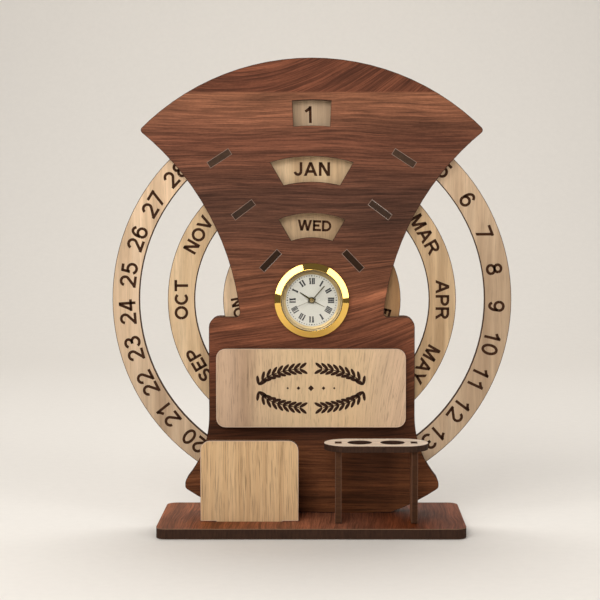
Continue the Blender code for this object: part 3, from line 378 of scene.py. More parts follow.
def pale_grain(bands: Sequence[float], streaks: Sequence[float],
               pores: Sequence[float]) -> tuple[GrainLayer, ...]:
    """Returns the layers of a pale wood.

    Args:
        bands: width, length and the two shades of its broad bands.
        streaks: the same of its finer streaks.
        pores: width, length and shade of its dark pores, and the noise at which they start and are full.

    Returns:
        The layers, the broadest first.
    """
    width, length, shade, low, high = pores
    dots = GrainLayer(width, length, 1.0, shade, low=low, high=high)
    return GrainLayer(*bands), GrainLayer(*streaks, detail=3.0), dots


WALNUT_LAYERS = (
    GrainLayer(5.4, 110, 0.76, 1.22), GrainLayer(1.35, 62, 0.66, 1.32, detail=4.0),
    GrainLayer(0.5, 15, 1.1, 0.64, low=0.42, high=0.62), GrainLayer(0.6, 1.6, 0.9, 1.1, low=0.32, high=0.68))
# Tones by height: the walnut's own tone with painted shade in it. The dark stop at 43.5 mm is the painted
# shadow under the message plate, and the lower panel is laid darker as painted shade from the light falling
# from above.
WALNUT_PANEL_AND_PAINTED_SHADE = Veneer(
    ((5, 0.136, 0.046, 0.0165), (36, 0.134, 0.045, 0.016), (43.5, 0.066, 0.021, 0.008),
     (66, 0.103, 0.033, 0.013), (84, 0.16, 0.05, 0.024), (100, 0.198, 0.067, 0.032),
     (122, 0.166, 0.061, 0.03),
     (141, 0.135, 0.052, 0.0285), (150, 0.106, 0.044, 0.0255), (164, 0.109, 0.044, 0.0255),
     (180, 0.155, 0.057, 0.0305), (190, 0.178, 0.063, 0.0335), (199, 0.22, 0.083, 0.043),
     (213.3, 0.266, 0.103, 0.051), (213.9, 0.157, 0.051, 0.025), (231, 0.148, 0.047, 0.0225)),
    WALNUT_LAYERS, Tones.BY_PLACE, sway=1.6, ripple=0.22)
# Tones across the base, from left to right: the walnut's own tone with painted light and painted shade in it,
# lighter at the left end and in the middle and darker at the right end, as the lamps fall across the base.
WALNUT_BASE_AND_PAINTED_LIGHT = Veneer(
    ((-74, 0.252, 0.065, 0.014), (-48, 0.222, 0.058, 0.015), (-8, 0.276, 0.093, 0.044),
     (4, 0.35, 0.124, 0.062), (20, 0.19, 0.069, 0.037), (45, 0.134, 0.029, 0.006), (74, 0.156, 0.032, 0.005)),
    WALNUT_LAYERS, Tones.BY_PLACE, sway=3.0, ripple=0.5)
WALNUT_LEG = Veneer(((0.35, 0.15, 0.066, 0.034), (0.65, 0.225, 0.102, 0.052)), WALNUT_LAYERS)
OAK_PLATE = Veneer(
    ((-46, 0.52, 0.35, 0.225), (-40, 0.53, 0.355, 0.23), (-33, 0.44, 0.285, 0.175), (-25, 0.58, 0.4, 0.24),
     (-8, 0.625, 0.44, 0.255), (20, 0.625, 0.435, 0.25), (34, 0.61, 0.425, 0.265), (46, 0.55, 0.375, 0.245)),
    pale_grain((4.6, 110, 0.95, 1.04), (1, 46, 0.93, 1.06), (0.4, 7, 0.7, 0.56, 0.66)),
    Tones.BY_PLACE, sway=1.4, lean=0.2, lean_start=8.0, lean_reach=30.0, lean_middle=70.0)
OAK_POCKET = Veneer(
    ((0.3, 0.55, 0.345, 0.175), (0.5, 0.6, 0.39, 0.205), (0.7, 0.64, 0.425, 0.23)),
    pale_grain((3.4, 140, 0.97, 1.03), (0.8, 70, 0.93, 1.08), (0.36, 16, 0.58, 0.535, 0.62)), sway=1.0)
# Laid far paler than the other oak: the oak's own tone with a painted sheen for the bright glancing
# reflection on the rest's top.
OAK_REST_AND_PAINTED_SHEEN = Veneer(
    ((0.3, 0.9, 0.7, 0.53), (0.5, 0.94, 0.76, 0.59), (0.7, 0.96, 0.8, 0.63)),
    pale_grain((3.4, 140, 0.94, 1.05), (0.8, 70, 0.91, 1.07), (0.38, 13, 0.72, 0.545, 0.64)))
ASH_DATE = Veneer(
    ((0.3, 0.5, 0.335, 0.205), (0.5, 0.6, 0.42, 0.265), (0.7, 0.67, 0.485, 0.32)),
    pale_grain((9, 150, 0.94, 1.05), (1.6, 60, 0.9, 1.08), (0.5, 9, 0.84, 0.54, 0.68)), sway=1.5)
ASH_MONTH = Veneer(
    ((0.3, 0.45, 0.29, 0.155), (0.5, 0.58, 0.4, 0.23), (0.7, 0.66, 0.48, 0.295)),
    pale_grain((12, 130, 0.92, 1.06), (1.8, 55, 0.89, 1.09), (0.5, 8, 0.84, 0.54, 0.68)))
# Tones across the day ring: lighter on the left and darker on the right, painted light and painted shade as
# the light falls from the left.
ASH_DAY_AND_PAINTED_LIGHT = Veneer(
    ((-44, 0.68, 0.48, 0.3), (-20, 0.58, 0.4, 0.235), (20, 0.44, 0.28, 0.15), (44, 0.31, 0.165, 0.07)),
    pale_grain((14, 110, 0.9, 1.06), (1.5, 30, 0.88, 1.09), (0.45, 6, 0.8, 0.54, 0.68)),
    Tones.BY_PLACE, sway=1.5)
SWAY_RATE = (0.012, 0.02, 1.0)
RIPPLE_RATE = (0.055, 0.11, 1.0)
SOOT_RATE = (1.3, 1.3, 0.25)
LAYER_STEP = 13.0
SPOT_CORE = 0.2
LIP_BLEND = 0.08
FINE_SHARE = 0.6
SHADE_SPAN = (0.4, 1.5)
GRAIN_POLISH = 0.1
GRAIN_STRENGTH = 0.6


@dataclass(frozen=True)
class BoardFinish:
    """The finish of a board with veneer on both faces and charred walls.

    Attributes:
        name: the material's name.
        node: the board's node.
        veneer: the veneer of the faces.
        grain: the direction in which the grain runs.
        thickness: the direction through the board.
        seed: moves the pattern, so that no two boards are alike.
        lip: the colour of the veneer's own cut edge.
        lip_depth: the thickness of the veneer, in millimetres.
        lip_below: how much of that line shows at the low face too.
        char: the colour of the charred wall.
        figure: the figured grain of the panel, if it is one.
        spots: its dark and light patches: patches and streaks of the figure, and painted light and painted
            shade.
    """

    name: str
    node: str
    veneer: Veneer
    grain: Axis
    thickness: Axis
    seed: float
    lip: Triple = (0.24, 0.135, 0.08)
    lip_depth: float = 0.26
    lip_below: float = 1.0
    char: Triple = (0.036, 0.0165, 0.0092)
    figure: PanelFigure | None = None
    spots: Sequence[Spot] = ()

    def dress(self) -> None:
        """Builds the material and dresses the board in it."""
        graph = ShaderGraph(self.name)
        place = graph.place()
        colour, grain = self.face_colour(graph, place)
        face = graph.facing(self.thickness)
        shown = graph.mixed(face, self.wall_colour(graph, place), colour)
        rough = graph.math("MULTIPLY_ADD", face, self.veneer.roughness - WALL_ROUGHNESS, WALL_ROUGHNESS)
        rough = graph.less(rough, graph.times(grain, GRAIN_POLISH))
        normal = graph.bump(grain, self.veneer.relief, GRAIN_STRENGTH)
        dress([self.node], graph.surface(shown, rough, normal, Specular_IOR_Level=WOOD_SHEEN))

    def face_colour(self, graph: ShaderGraph, place: list[Socket]) -> tuple[Socket, Socket]:
        """Builds the veneer.

        Args:
            graph: the material's tree.
            place: x, y and z in millimetres.

        Returns:
            The colour, and the height of the grain from 0 to 1.
        """
        veneer = self.veneer
        along = place[self.grain.value]
        aside = next(place[axis.value] for axis in Axis if axis not in (self.grain, self.thickness))
        across = self.bent(graph, along, aside)
        noises = [graph.noise((along, across, self.seed + LAYER_STEP * i),
                              (1.0 / layer.length, 1.0 / layer.width, 1.0), layer.detail, FINE_SHARE)
                  for i, layer in enumerate(veneer.layers)]
        if veneer.laid is Tones.BY_PLACE:
            low, high = veneer.tones[0][0], veneer.tones[-1][0]
            stops = [((at - low) / (high - low), *tone) for at, *tone in veneer.tones]
            base = graph.ramp(graph.span(aside, low, high), stops)
        else:
            base = graph.ramp(noises[0], veneer.tones)
        shades = [graph.span(noise, layer.low, layer.high, layer.first, layer.last)
                  for layer, noise in zip(veneer.layers, noises)]
        # The spots darken or lighten the veneer: figure patches, and painted light and painted shade.
        for spot in self.spots:
            right = graph.times(graph.less(along, spot.along), 1.0 / spot.half_length)
            upward = graph.times(graph.less(across, spot.across), 1.0 / spot.half_width)
            far = graph.add("ShaderNodeVectorMath", {0: graph.vector(right, upward, 0.0)}, operation="LENGTH")
            shades.append(graph.span(far.outputs["Value"], SPOT_CORE, 1.0, spot.shade, 1.0))
        shade = shades[0]
        for factor in shades[1:]:
            shade = graph.times(shade, factor)
        return graph.scaled(base, shade), graph.span(shade, *SHADE_SPAN)

    def bent(self, graph: ShaderGraph, along: Socket, across: Socket) -> Socket:
        """Bends the grain by its wander and by the panel's figure.

        Args:
            graph: the material's tree.
            along: the place along the grain.
            across: the place across it.

        Returns:
            The bent place across the grain.
        """
        veneer, figure = self.veneer, self.figure
        moved = across
        for rate, reach in ((SWAY_RATE, veneer.sway), (RIPPLE_RATE, veneer.ripple)):
            wave = graph.less(graph.noise((along, across, self.seed), rate, 1.0), 0.5)
            moved = graph.math("MULTIPLY_ADD", wave, 4 * reach, moved)
        if veneer.lean:
            full = veneer.lean_start + veneer.lean_reach
            lean = graph.span(across, veneer.lean_start, full, 0.0, veneer.lean)
            moved = graph.less(moved, graph.times(graph.less(along, veneer.lean_middle), lean))
        if figure is None:
            return moved
        right = graph.math("MAXIMUM", along, 0.0)
        curl = graph.times(graph.times(right, right), figure.rise_curl)
        rise = graph.math("MULTIPLY_ADD", along, figure.rise_slope, curl)
        below = graph.span(across, figure.rise_floor, figure.rise_floor + figure.rise_start)
        above = graph.span(across, figure.rise_height, figure.rise_height + figure.rise_fade, 1.0, 0.0)
        moved = graph.less(moved, graph.times(rise, graph.times(below, above)))
        slope = graph.math("MULTIPLY_ADD", along, figure.crown_curl, figure.crown_slope)
        climb = graph.less(graph.times(along, slope), figure.crown_shift)
        crown = graph.math("GREATER_THAN", across, figure.crown_height)
        return graph.less(moved, graph.times(crown, climb))

    def wall_colour(self, graph: ShaderGraph, place: list[Socket]) -> Socket:
        """Builds the charred wall, with the veneer's edge as a thin paler line at each face.

        Args:
            graph: the material's tree.
            place: x, y and z in millimetres.

        Returns:
            The colour.
        """
        low, high = (corner[self.thickness.value] * PER_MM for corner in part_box(self.node))
        through = place[self.thickness.value]
        depth = self.lip_depth
        near_low = graph.span(through, low + depth, low + depth + LIP_BLEND, self.lip_below, 0.0)
        near_high = graph.span(through, high - depth - LIP_BLEND, high - depth)
        others = [place[axis.value] for axis in Axis if axis is not self.thickness]
        soot = graph.noise((*others, through), SOOT_RATE, 3.0)
        charred = graph.scaled(self.char, graph.wander(soot, 0.6, 1.5))
        lip = graph.scaled(self.lip, graph.wander(soot, 0.75, 1.2))
        return graph.mixed(graph.math("MAXIMUM", near_low, near_high), charred, lip)


@dataclass(frozen=True)
class Finish:
    """What the finishes of one colour share.

    Attributes:
        name: the material's name.
        colour: its colour.
        roughness: its roughness.
    """

    name: str
    colour: Triple
    roughness: float = 0.7


@dataclass(frozen=True)
class CharFinish(Finish):
    """Laser-charred board, as the ends of the pegs and the burnt lettering show it. In pale colours it also
    makes the painted highlights along the cuts.

    Attributes:
        spread: how far the colour wanders.
        grain: the size of the wandering, in millimetres.
    """

    spread: float = 0.4
    grain: float = 1.2

    def material(self) -> Material:
        """Builds the material."""
        graph = ShaderGraph(self.name)
        soot = graph.noise(graph.place(), (1 / self.grain, 1.0, 1 / self.grain), 4.0, 0.6)
        shade = graph.span(soot, 0.25, 0.75, 1.0 - self.spread, 1.0 + self.spread)
        rough = graph.wander(soot, self.roughness - 0.1, self.roughness + 0.15)
        return graph.surface(graph.scaled(self.colour, shade), rough, graph.bump(soot, 0.00003, 0.5),
                             Specular_IOR_Level=WOOD_SHEEN)


@dataclass(frozen=True)
class MetalFinish(Finish):
    """A plated or machined metal.

    Attributes:
        haze: how far the roughness wanders.
        scratch: how deep the polishing marks are, in metres.
        grain: the size of the marks, in millimetres.
    """

    haze: float = 0.04
    scratch: float = 0.0
    grain: float = 0.6

    def material(self) -> Material:
        """Builds the material."""
        graph = ShaderGraph(self.name)
        marks = graph.noise(graph.place(), 1 / self.grain, 3.0, 0.6)
        colour = graph.scaled(self.colour, graph.wander(marks, 0.95, 1.04))
        rough = graph.wander(marks, self.roughness - self.haze / 2, self.roughness + self.haze)
        normal = graph.bump(marks, self.scratch, 0.5) if self.scratch else None
        return graph.surface(colour, rough, normal, Metallic=1.0)


@dataclass(frozen=True)
class PlasticFinish(Finish):
    """A moulded or printed surface.

    Attributes:
        texture: the size of the moulded grain, in millimetres.
        relief: the depth of that grain, in metres.
        spread: how far the colour wanders.
        coat: the weight of a clear coat.
    """

    texture: float = 0.25
    relief: float = 0.00001
    spread: float = 0.06
    coat: float = 0.0

    def material(self) -> Material:
        """Builds the material."""
        graph = ShaderGraph(self.name)
        place = graph.place()
        fine = graph.noise(place, 1 / self.texture)
        shade = graph.wander(graph.noise(place, 0.2), 1.0 - self.spread, 1.0 + self.spread)
        rough = graph.wander(fine, self.roughness - 0.04, self.roughness + 0.05)
        return graph.surface(graph.scaled(self.colour, shade), rough, graph.bump(fine, self.relief, 0.6),
                             Coat_Weight=self.coat)


@dataclass(frozen=True)
class EnamelWireFinish(Finish):
    """Enamelled wire."""

    def material(self) -> Material:
        """Builds the material."""
        graph = ShaderGraph(self.name)
        tint = graph.noise(graph.place())
        rough = graph.wander(tint, self.roughness, self.roughness + 0.12)
        return graph.surface(graph.scaled(self.colour, graph.wander(tint, 0.8, 1.2)), rough, Metallic=1.0,
                             Coat_Weight=0.4)


@dataclass(frozen=True)
class GlassFinish:
    """The clock's clear lens, which lets lamps through to the dial.

    Attributes:
        name: the material's name.
        index: the refractive index.
    """

    name: str
    index: float = 1.45

    def material(self) -> Material:
        """Builds the material."""
        graph = ShaderGraph(self.name)
        smear = graph.noise(graph.place(), (0.3, 1.0, 0.3))
        inputs = {"Base Color": (1.0, 1.0, 1.0), "Roughness": graph.span(smear, 0.3, 0.8, 0.0, 0.012),
                  "IOR": self.index, "Transmission Weight": 1.0}
        glass = graph.add("ShaderNodeBsdfPrincipled", inputs)
        clear = graph.add("ShaderNodeBsdfTransparent", {0: (0.96, 0.96, 0.96)})
        shadow = graph.add("ShaderNodeLightPath").outputs["Is Shadow Ray"]
        shown = graph.add("ShaderNodeMixShader", {0: shadow, 1: glass.outputs[0], 2: clear.outputs[0]})
        graph.add("ShaderNodeOutputMaterial", {"Surface": shown.outputs[0]})
        return graph.material


def dress(nodes: Iterable[str], material: Material) -> None:
    """Gives carried-over nodes a material.

    Args:
        nodes: the nodes' names.
        material: what they are dressed in.
    """
    for name in nodes:
        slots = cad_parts[name].data.materials
        slots.clear()
        slots.append(material)
        LOG.info("node %s dressed in %s", name, material.name)


def publish(name: str, mesh: Mesh, body: str, material: Material) -> bpy.types.Object:
    """Adds a finished mesh to the scene as a piece.

    Args:
        name: the piece's name.
        mesh: the mesh, with its place in it.
        body: the body that it moves with.
        material: its material.

    Returns:
        The new object.
    """
    mesh.materials.clear()
    mesh.materials.append(material)
    for face in mesh.polygons:
        face.material_index = 0
    mesh.name = name
    piece = bpy.data.objects.new(name, mesh)
    bpy.context.scene.collection.objects.link(piece)
    bpy.context.view_layer.update()
    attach(piece, body)
    LOG.info("piece %s rides on %s, %d faces", name, body, len(mesh.polygons))
    return piece


def middle_of(node: str) -> Point:
    """Returns x and z of a node's middle."""
    low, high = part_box(node)
    return (low[0] + high[0]) / 2, (low[2] + high[2]) / 2


def front_of(node: str) -> float:
    """Returns y of a node's front."""
    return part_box(node)[0][1]


def face_frame(y: float, centre: Point = (0.0, 0.0)) -> Matrix:
    """Returns the matrix that stands a drawing on a face that looks to the front.

    Args:
        y: where the face is.
        centre: x and z of the drawing's origin.

    Returns:
        The matrix: right stays right, up turns to +Z, and the drawing's own height turns to -Y.
    """
    return Matrix.Translation((centre[0], y, centre[1])) @ Matrix.Rotation(math.pi / 2, 4, "X")


def back_frame(y: float, centre: Point) -> Matrix:
    """Returns the matrix that stands a drawing on a face that looks to the back, to be read from there."""
    return face_frame(y, centre) @ Matrix.Rotation(math.pi, 4, "Y")


def spun(angle: float, radius: float) -> Matrix:
    """Returns the matrix that moves a drawing up by a radius and then turns it about the origin."""
    return Matrix.Rotation(angle, 4, "Z") @ Matrix.Translation((0.0, radius, 0.0))


def closed(whole: bmesh.types.BMesh, name: str, outward: bool = True) -> Mesh:
    """Ends a bmesh as a named mesh.

    Args:
        whole: the bmesh, which is freed.
        name: the mesh's name.
        outward: whether its faces are first turned outwards.

    Returns:
        The mesh.
    """
    if outward:
        bmesh.ops.recalc_face_normals(whole, faces=whole.faces)
    made = bpy.data.meshes.new(name)
    whole.to_mesh(made)
    whole.free()
    return made


def joined(parts: Iterable[tuple[Mesh, Matrix]], name: str) -> Mesh:
    """Joins meshes into one.

    Args:
        parts: each mesh with the matrix that puts it in place. The meshes are removed.
        name: the new mesh's name.

    Returns:
        The joined mesh.
    """
    whole = bmesh.new()
    for mesh, matrix in parts:
        mesh.transform(matrix)
        whole.from_mesh(mesh)
        bpy.data.meshes.remove(mesh)
    return closed(whole, name, False)


def plate(outlines: Iterable[Sequence[Point]], thickness: float, name: str) -> Mesh:
    """Builds flat closed shapes of one thickness, each standing on z 0.

    Args:
        outlines: each shape's corners, anticlockwise.
        thickness: how thick they are.
        name: the mesh's name.

    Returns:
        The mesh.
    """
    whole = bmesh.new()
    for outline in outlines:
        low, high = ([whole.verts.new((x, y, z)) for x, y in outline] for z in (0.0, thickness))
        whole.faces.new(high)
        whole.faces.new(list(reversed(low)))
        for i, corner in enumerate(low):
            j = (i + 1) % len(low)
            whole.faces.new((corner, low[j], high[j], high[i]))
    return closed(whole, name)


def eased(corners: Sequence[Triple], steps: int = 4) -> list[Point]:
    """Rounds the corners of a closed outline.

    Args:
        corners: each corner's two places, and how far its rounding reaches along both sides.
        steps: how many pieces a rounding has.

    Returns:
        The outline's points.
    """
    made = []
    for i, (x, y, reach) in enumerate(corners):
        if not reach:
            made.append((x, y))
            continue
        corner = Vector((x, y))
        start, end = (corner + (Vector(corners[j % len(corners)][:2]) - corner).normalized() * reach
                      for j in (i - 1, i + 1))
        for t in (k / steps for k in range(steps + 1)):
            made.append(tuple(start.lerp(corner, t).lerp(corner.lerp(end, t), t)))
    return made


def turned(corners: Sequence[Triple], steps: int, stand: Matrix, name: str) -> Mesh:
    """Turns a closed profile round the drawing's own height.

    Args:
        corners: each corner's radius, height and rounding, in millimetres.
        steps: how many steps a full turn has.
        stand: the matrix that puts it in place.
        name: the mesh's name.

    Returns:
        The mesh, smooth but for its sharp edges.
    """
    profile = eased(corners)
    whole = bmesh.new()
    rings = []
    for step in range(steps):
        angle = 2 * math.pi * step / steps
        across, upward = math.cos(angle), math.sin(angle)
        rings.append([whole.verts.new((radius * MM * across, radius * MM * upward, height * MM))
                      for radius, height in profile])
    for step, here in enumerate(rings):
        there = rings[(step + 1) % steps]
        for i in range(len(profile)):
            j = (i + 1) % len(profile)
            whole.faces.new((here[i], here[j], there[j], there[i])).smooth = True
    made = closed(whole, name)
    made.transform(stand)
    made.set_sharp_from_angle(angle=math.radians(SHARP_DEGREES))
    return made


class GeometryTree(NodeTree):
    """A Geometry Nodes tree that is being built, with named inputs."""

    def __init__(self, name: str, floats: Sequence[str], wholes: Sequence[str] = ()) -> None:
        """Starts the tree.

        Args:
            name: the tree's name.
            floats: the names of its lengths, angles and other fractions.
            wholes: the names of its counts.
        """
        self.tree = bpy.data.node_groups.new(name, "GeometryNodeTree")
        kinds = [("Geometry", "Geometry"), *((title, "Int") for title in wholes),
                 *((title, "Float") for title in floats), ("Material", "Material")]
        for title, kind in kinds:
            self.tree.interface.new_socket(title, in_out="INPUT", socket_type="NodeSocket" + kind)
        self.tree.interface.new_socket("Geometry", in_out="OUTPUT", socket_type="NodeSocketGeometry")
        self.given = self.tree.nodes.new("NodeGroupInput").outputs

    def end(self, geometry: Socket) -> "GeometryTree":
        """Ends the tree in Realize Instances and Set Material, with the tree's own Material input.

        Args:
            geometry: what the tree has made.

        Returns:
            The tree itself.
        """
        real = self.add("GeometryNodeRealizeInstances", {0: geometry})
        dressed = self.add("GeometryNodeSetMaterial",
                           {"Geometry": real.outputs[0], "Material": self.given["Material"]})
        self.add("NodeGroupOutput", {0: dressed.outputs[0]})
        return self

    def run(self, values: dict[str, object], carrier: Mesh | None = None) -> Mesh:
        """Runs the tree once.

        Args:
            values: a value for each named input.
            carrier: the mesh that it starts from, an empty one if left out.

        Returns:
            The result as a plain mesh.
        """
        base = carrier or bpy.data.meshes.new("carrier")
        holder = bpy.data.objects.new("carrier", base)
        modifier = holder.modifiers.new("Nodes", "NODES")
        modifier.node_group = self.tree
        for item in self.tree.interface.items_tree:
            if item.in_out == "INPUT" and item.name in values:
                modifier[item.identifier] = values[item.name]
        bpy.context.scene.collection.objects.link(holder)
        graph = bpy.context.evaluated_depsgraph_get()
        graph.update()
        made = bpy.data.meshes.new_from_object(holder.evaluated_get(graph))
        holder.modifiers.remove(modifier)
        bpy.data.objects.remove(holder)
        bpy.data.meshes.remove(base)
        return made


def dots_tree() -> GeometryTree:
    """Returns a tree that sets equal flat dots round a circle."""
    made = GeometryTree("dots_on_circle", ("Radius", "Dot Radius", "Thickness"), ("Count",))
    given = made.given
    circle = made.add("GeometryNodeMeshCircle", {"Vertices": given["Count"], "Radius": given["Radius"]})
    dot = made.add("GeometryNodeMeshCylinder",
                   {"Vertices": 12, "Radius": given["Dot Radius"], "Depth": given["Thickness"]})
    spread = made.add("GeometryNodeInstanceOnPoints",
                      {"Points": circle.outputs["Mesh"], "Instance": dot.outputs["Mesh"]})
    return made.end(spread.outputs["Instances"])


def swept(made: GeometryTree, path: bpy.types.Node, profile: bpy.types.Node) -> GeometryTree:
    """Ends a tree in a profile that is drawn along a path, with closed ends."""
    inputs = {"Curve": path.outputs[0], "Profile Curve": profile.outputs[0], "Fill Caps": True}
    return made.end(made.add("GeometryNodeCurveToMesh", inputs).outputs[0])


def line_tree() -> GeometryTree:
    """Returns a tree that lays a flat line along the edges it is given."""
    made = GeometryTree("line_along_edges", ("Width", "Thickness"))
    path = made.add("GeometryNodeMeshToCurve", {0: made.given["Geometry"]})
    upright = made.add("GeometryNodeSetCurveNormal", {"Curve": path.outputs[0]}, mode="Z_UP")
    profile = made.add("GeometryNodeCurvePrimitiveQuadrilateral",
                       {"Width": made.given["Width"], "Height": made.given["Thickness"]})
    return swept(made, upright, profile)


def winding_tree() -> GeometryTree:
    """Returns a tree that winds wire round the z axis."""
    made = GeometryTree("winding", ("Turns", "Radius", "Length", "Wire Radius"))
    given = made.given
    helix = made.add("GeometryNodeCurveSpiral",
                     {"Resolution": 14, "Rotations": given["Turns"], "Start Radius": given["Radius"],
                      "End Radius": given["Radius"], "Height": given["Length"]})
    profile = made.add("GeometryNodeCurvePrimitiveCircle", {"Resolution": 6, "Radius": given["Wire Radius"]})
    return swept(made, helix, profile)


def sprig_tree() -> GeometryTree:
    """Returns a tree that sets leaves in pairs along the edges of a stem."""
    made = GeometryTree("leaves_on_stem", ("Leaf Length", "Leaf Width", "Splay", "Thickness"), ("Leaves",))
    given = made.given
    stem = made.add("GeometryNodeMeshToCurve", {0: given["Geometry"]})
    points = made.add("GeometryNodeCurveToPoints", {"Curve": stem.outputs[0], "Count": given["Leaves"]})
    leaf = made.add("GeometryNodeMeshCylinder", {"Vertices": 14, "Radius": 0.5, "Depth": 1.0})
    moved = made.add("GeometryNodeTransform",
                     {"Geometry": leaf.outputs["Mesh"], "Translation": (0.55, 0.0, 0.0)})
    axis = made.add("ShaderNodeVectorMath", {0: points.outputs["Tangent"]}, operation="NORMALIZE")
    aligned = made.add("FunctionNodeAlignRotationToVector", {"Vector": axis.outputs[0]}, axis="X")
    size = made.add("ShaderNodeCombineXYZ",
                    {0: given["Leaf Length"], 1: given["Leaf Width"], 2: given["Thickness"]})
    both = made.add("GeometryNodeJoinGeometry")
    for way in (1.0, -1.0):
        splay = made.add("ShaderNodeMath", {0: given["Splay"], 1: way}, operation="MULTIPLY")
        euler = made.add("ShaderNodeCombineXYZ", {2: splay.outputs[0]})
        spin = made.add("FunctionNodeEulerToRotation", {0: euler.outputs[0]})
        leaning = made.add("FunctionNodeRotateRotation",
                           {0: aligned.outputs[0], 1: spin.outputs[0]}, rotation_space="LOCAL")
        spread = made.add("GeometryNodeInstanceOnPoints",
                          {"Points": points.outputs[0], "Instance": moved.outputs[0],
                           "Rotation": leaning.outputs[0], "Scale": size.outputs[0]})
        made.tree.links.new(spread.outputs[0], both.inputs[0])
    return made.end(both.outputs[0])


FOLD = 0.2
INSET_MITRE = 0.5
STROKE_MITRE = 0.6


def front_outlines(node: str) -> list[list[Point]]:
    """Traces the outlines of a node's flat front.

    Args:
        node: the node's name.

    Returns:
        x and z of each closed outline's points, with the face on the left of its run.
    """
    source = bmesh.new()
    source.from_mesh(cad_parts[node].data)
    bmesh.ops.remove_doubles(source, verts=source.verts, dist=WELD)
    source.normal_update()
    front = min(corner.co.y for corner in source.verts)
    flat = [face for face in source.faces
            if face.normal.y < -FRONT_SHARE and face.calc_center_median().y < front + WELD]
    inside = set(flat)
    following = {}
    for face in flat:
        for loop in face.loops:
            if sum(other in inside for other in loop.edge.link_faces) == 1:
                place = (loop.vert.co.x, loop.vert.co.z)
                following[loop.vert.index] = (loop.link_loop_next.vert.index, place)
    source.free()
    loops = []
    while following:
        at = next(iter(following))
        loops.append([])
        while at in following:
            at, point = following.pop(at)
            loops[-1].append(point)
    return loops


def inset(points: Sequence[Point], distance: float) -> list[Point]:
    """Moves a closed outline to its left.

    Args:
        points: the outline's points.
        distance: how far it moves.

    Returns:
        The moved points.
    """
    moved = []
    for i, point in enumerate(points):
        here, before, after = Vector(point), Vector(points[i - 1]), Vector(points[(i + 1) % len(points)])
        first, second = (Vector((-run.y, run.x)).normalized() for run in (here - before, after - here))
        middle = first + second
        if middle.length < FOLD:
            middle = second
        middle.normalize()
        moved.append(tuple(here + middle * (distance / max(INSET_MITRE, middle @ second))))
    return moved


def edges_mesh(runs: Iterable[Sequence[Point]], closing: bool = True) -> Mesh:
    """Builds a mesh of edges only.

    Args:
        runs: the points of each run of edges.
        closing: whether an edge leads from the last point back to the first.

    Returns:
        The mesh.
    """
    points, edges = [], []
    for run in runs:
        start, count = len(points), len(run)
        points.extend((x, y, 0.0) for x, y in run)
        edges.extend((start + i, start + (i + 1) % count) for i in range(count if closing else count - 1))
    made = bpy.data.meshes.new("edges")
    made.from_pydata(points, edges, [])
    return made


@dataclass(frozen=True)
class Upright:
    """A straight stroke between two heights, cut level at its ends. Places are shares of the letter's box."""

    low_x: float
    low: float
    high_x: float
    high: float


@dataclass(frozen=True)
class Level:
    """A level stroke from left to right at one height. Places are shares of the letter's box."""

    left: float
    right: float
    height: float


@dataclass(frozen=True)
class Bow:
    """Part of an ellipse, from one angle in degrees to another. Places are shares of the letter's box."""

    x: float
    y: float
    across: float
    upward: float
    start: float
    end: float


def ring(y: float, across: float, upward: float) -> tuple[Bow, Bow]:
    """Returns a closed ellipse as two strokes."""
    return Bow(0.5, y, across, upward, 0, 180), Bow(0.5, y, across, upward, 180, 360)


def bowl(top: float, bottom: float, straight: float, reach: float) -> tuple[object, ...]:
    """Returns a stroke from the stem out, round and back, which is straight at first and then reaches out."""
    bend = Bow(straight, (top + bottom) / 2, reach, (top - bottom) / 2, 90, -90)
    return (0, top), (straight, top), bend, (0, bottom)


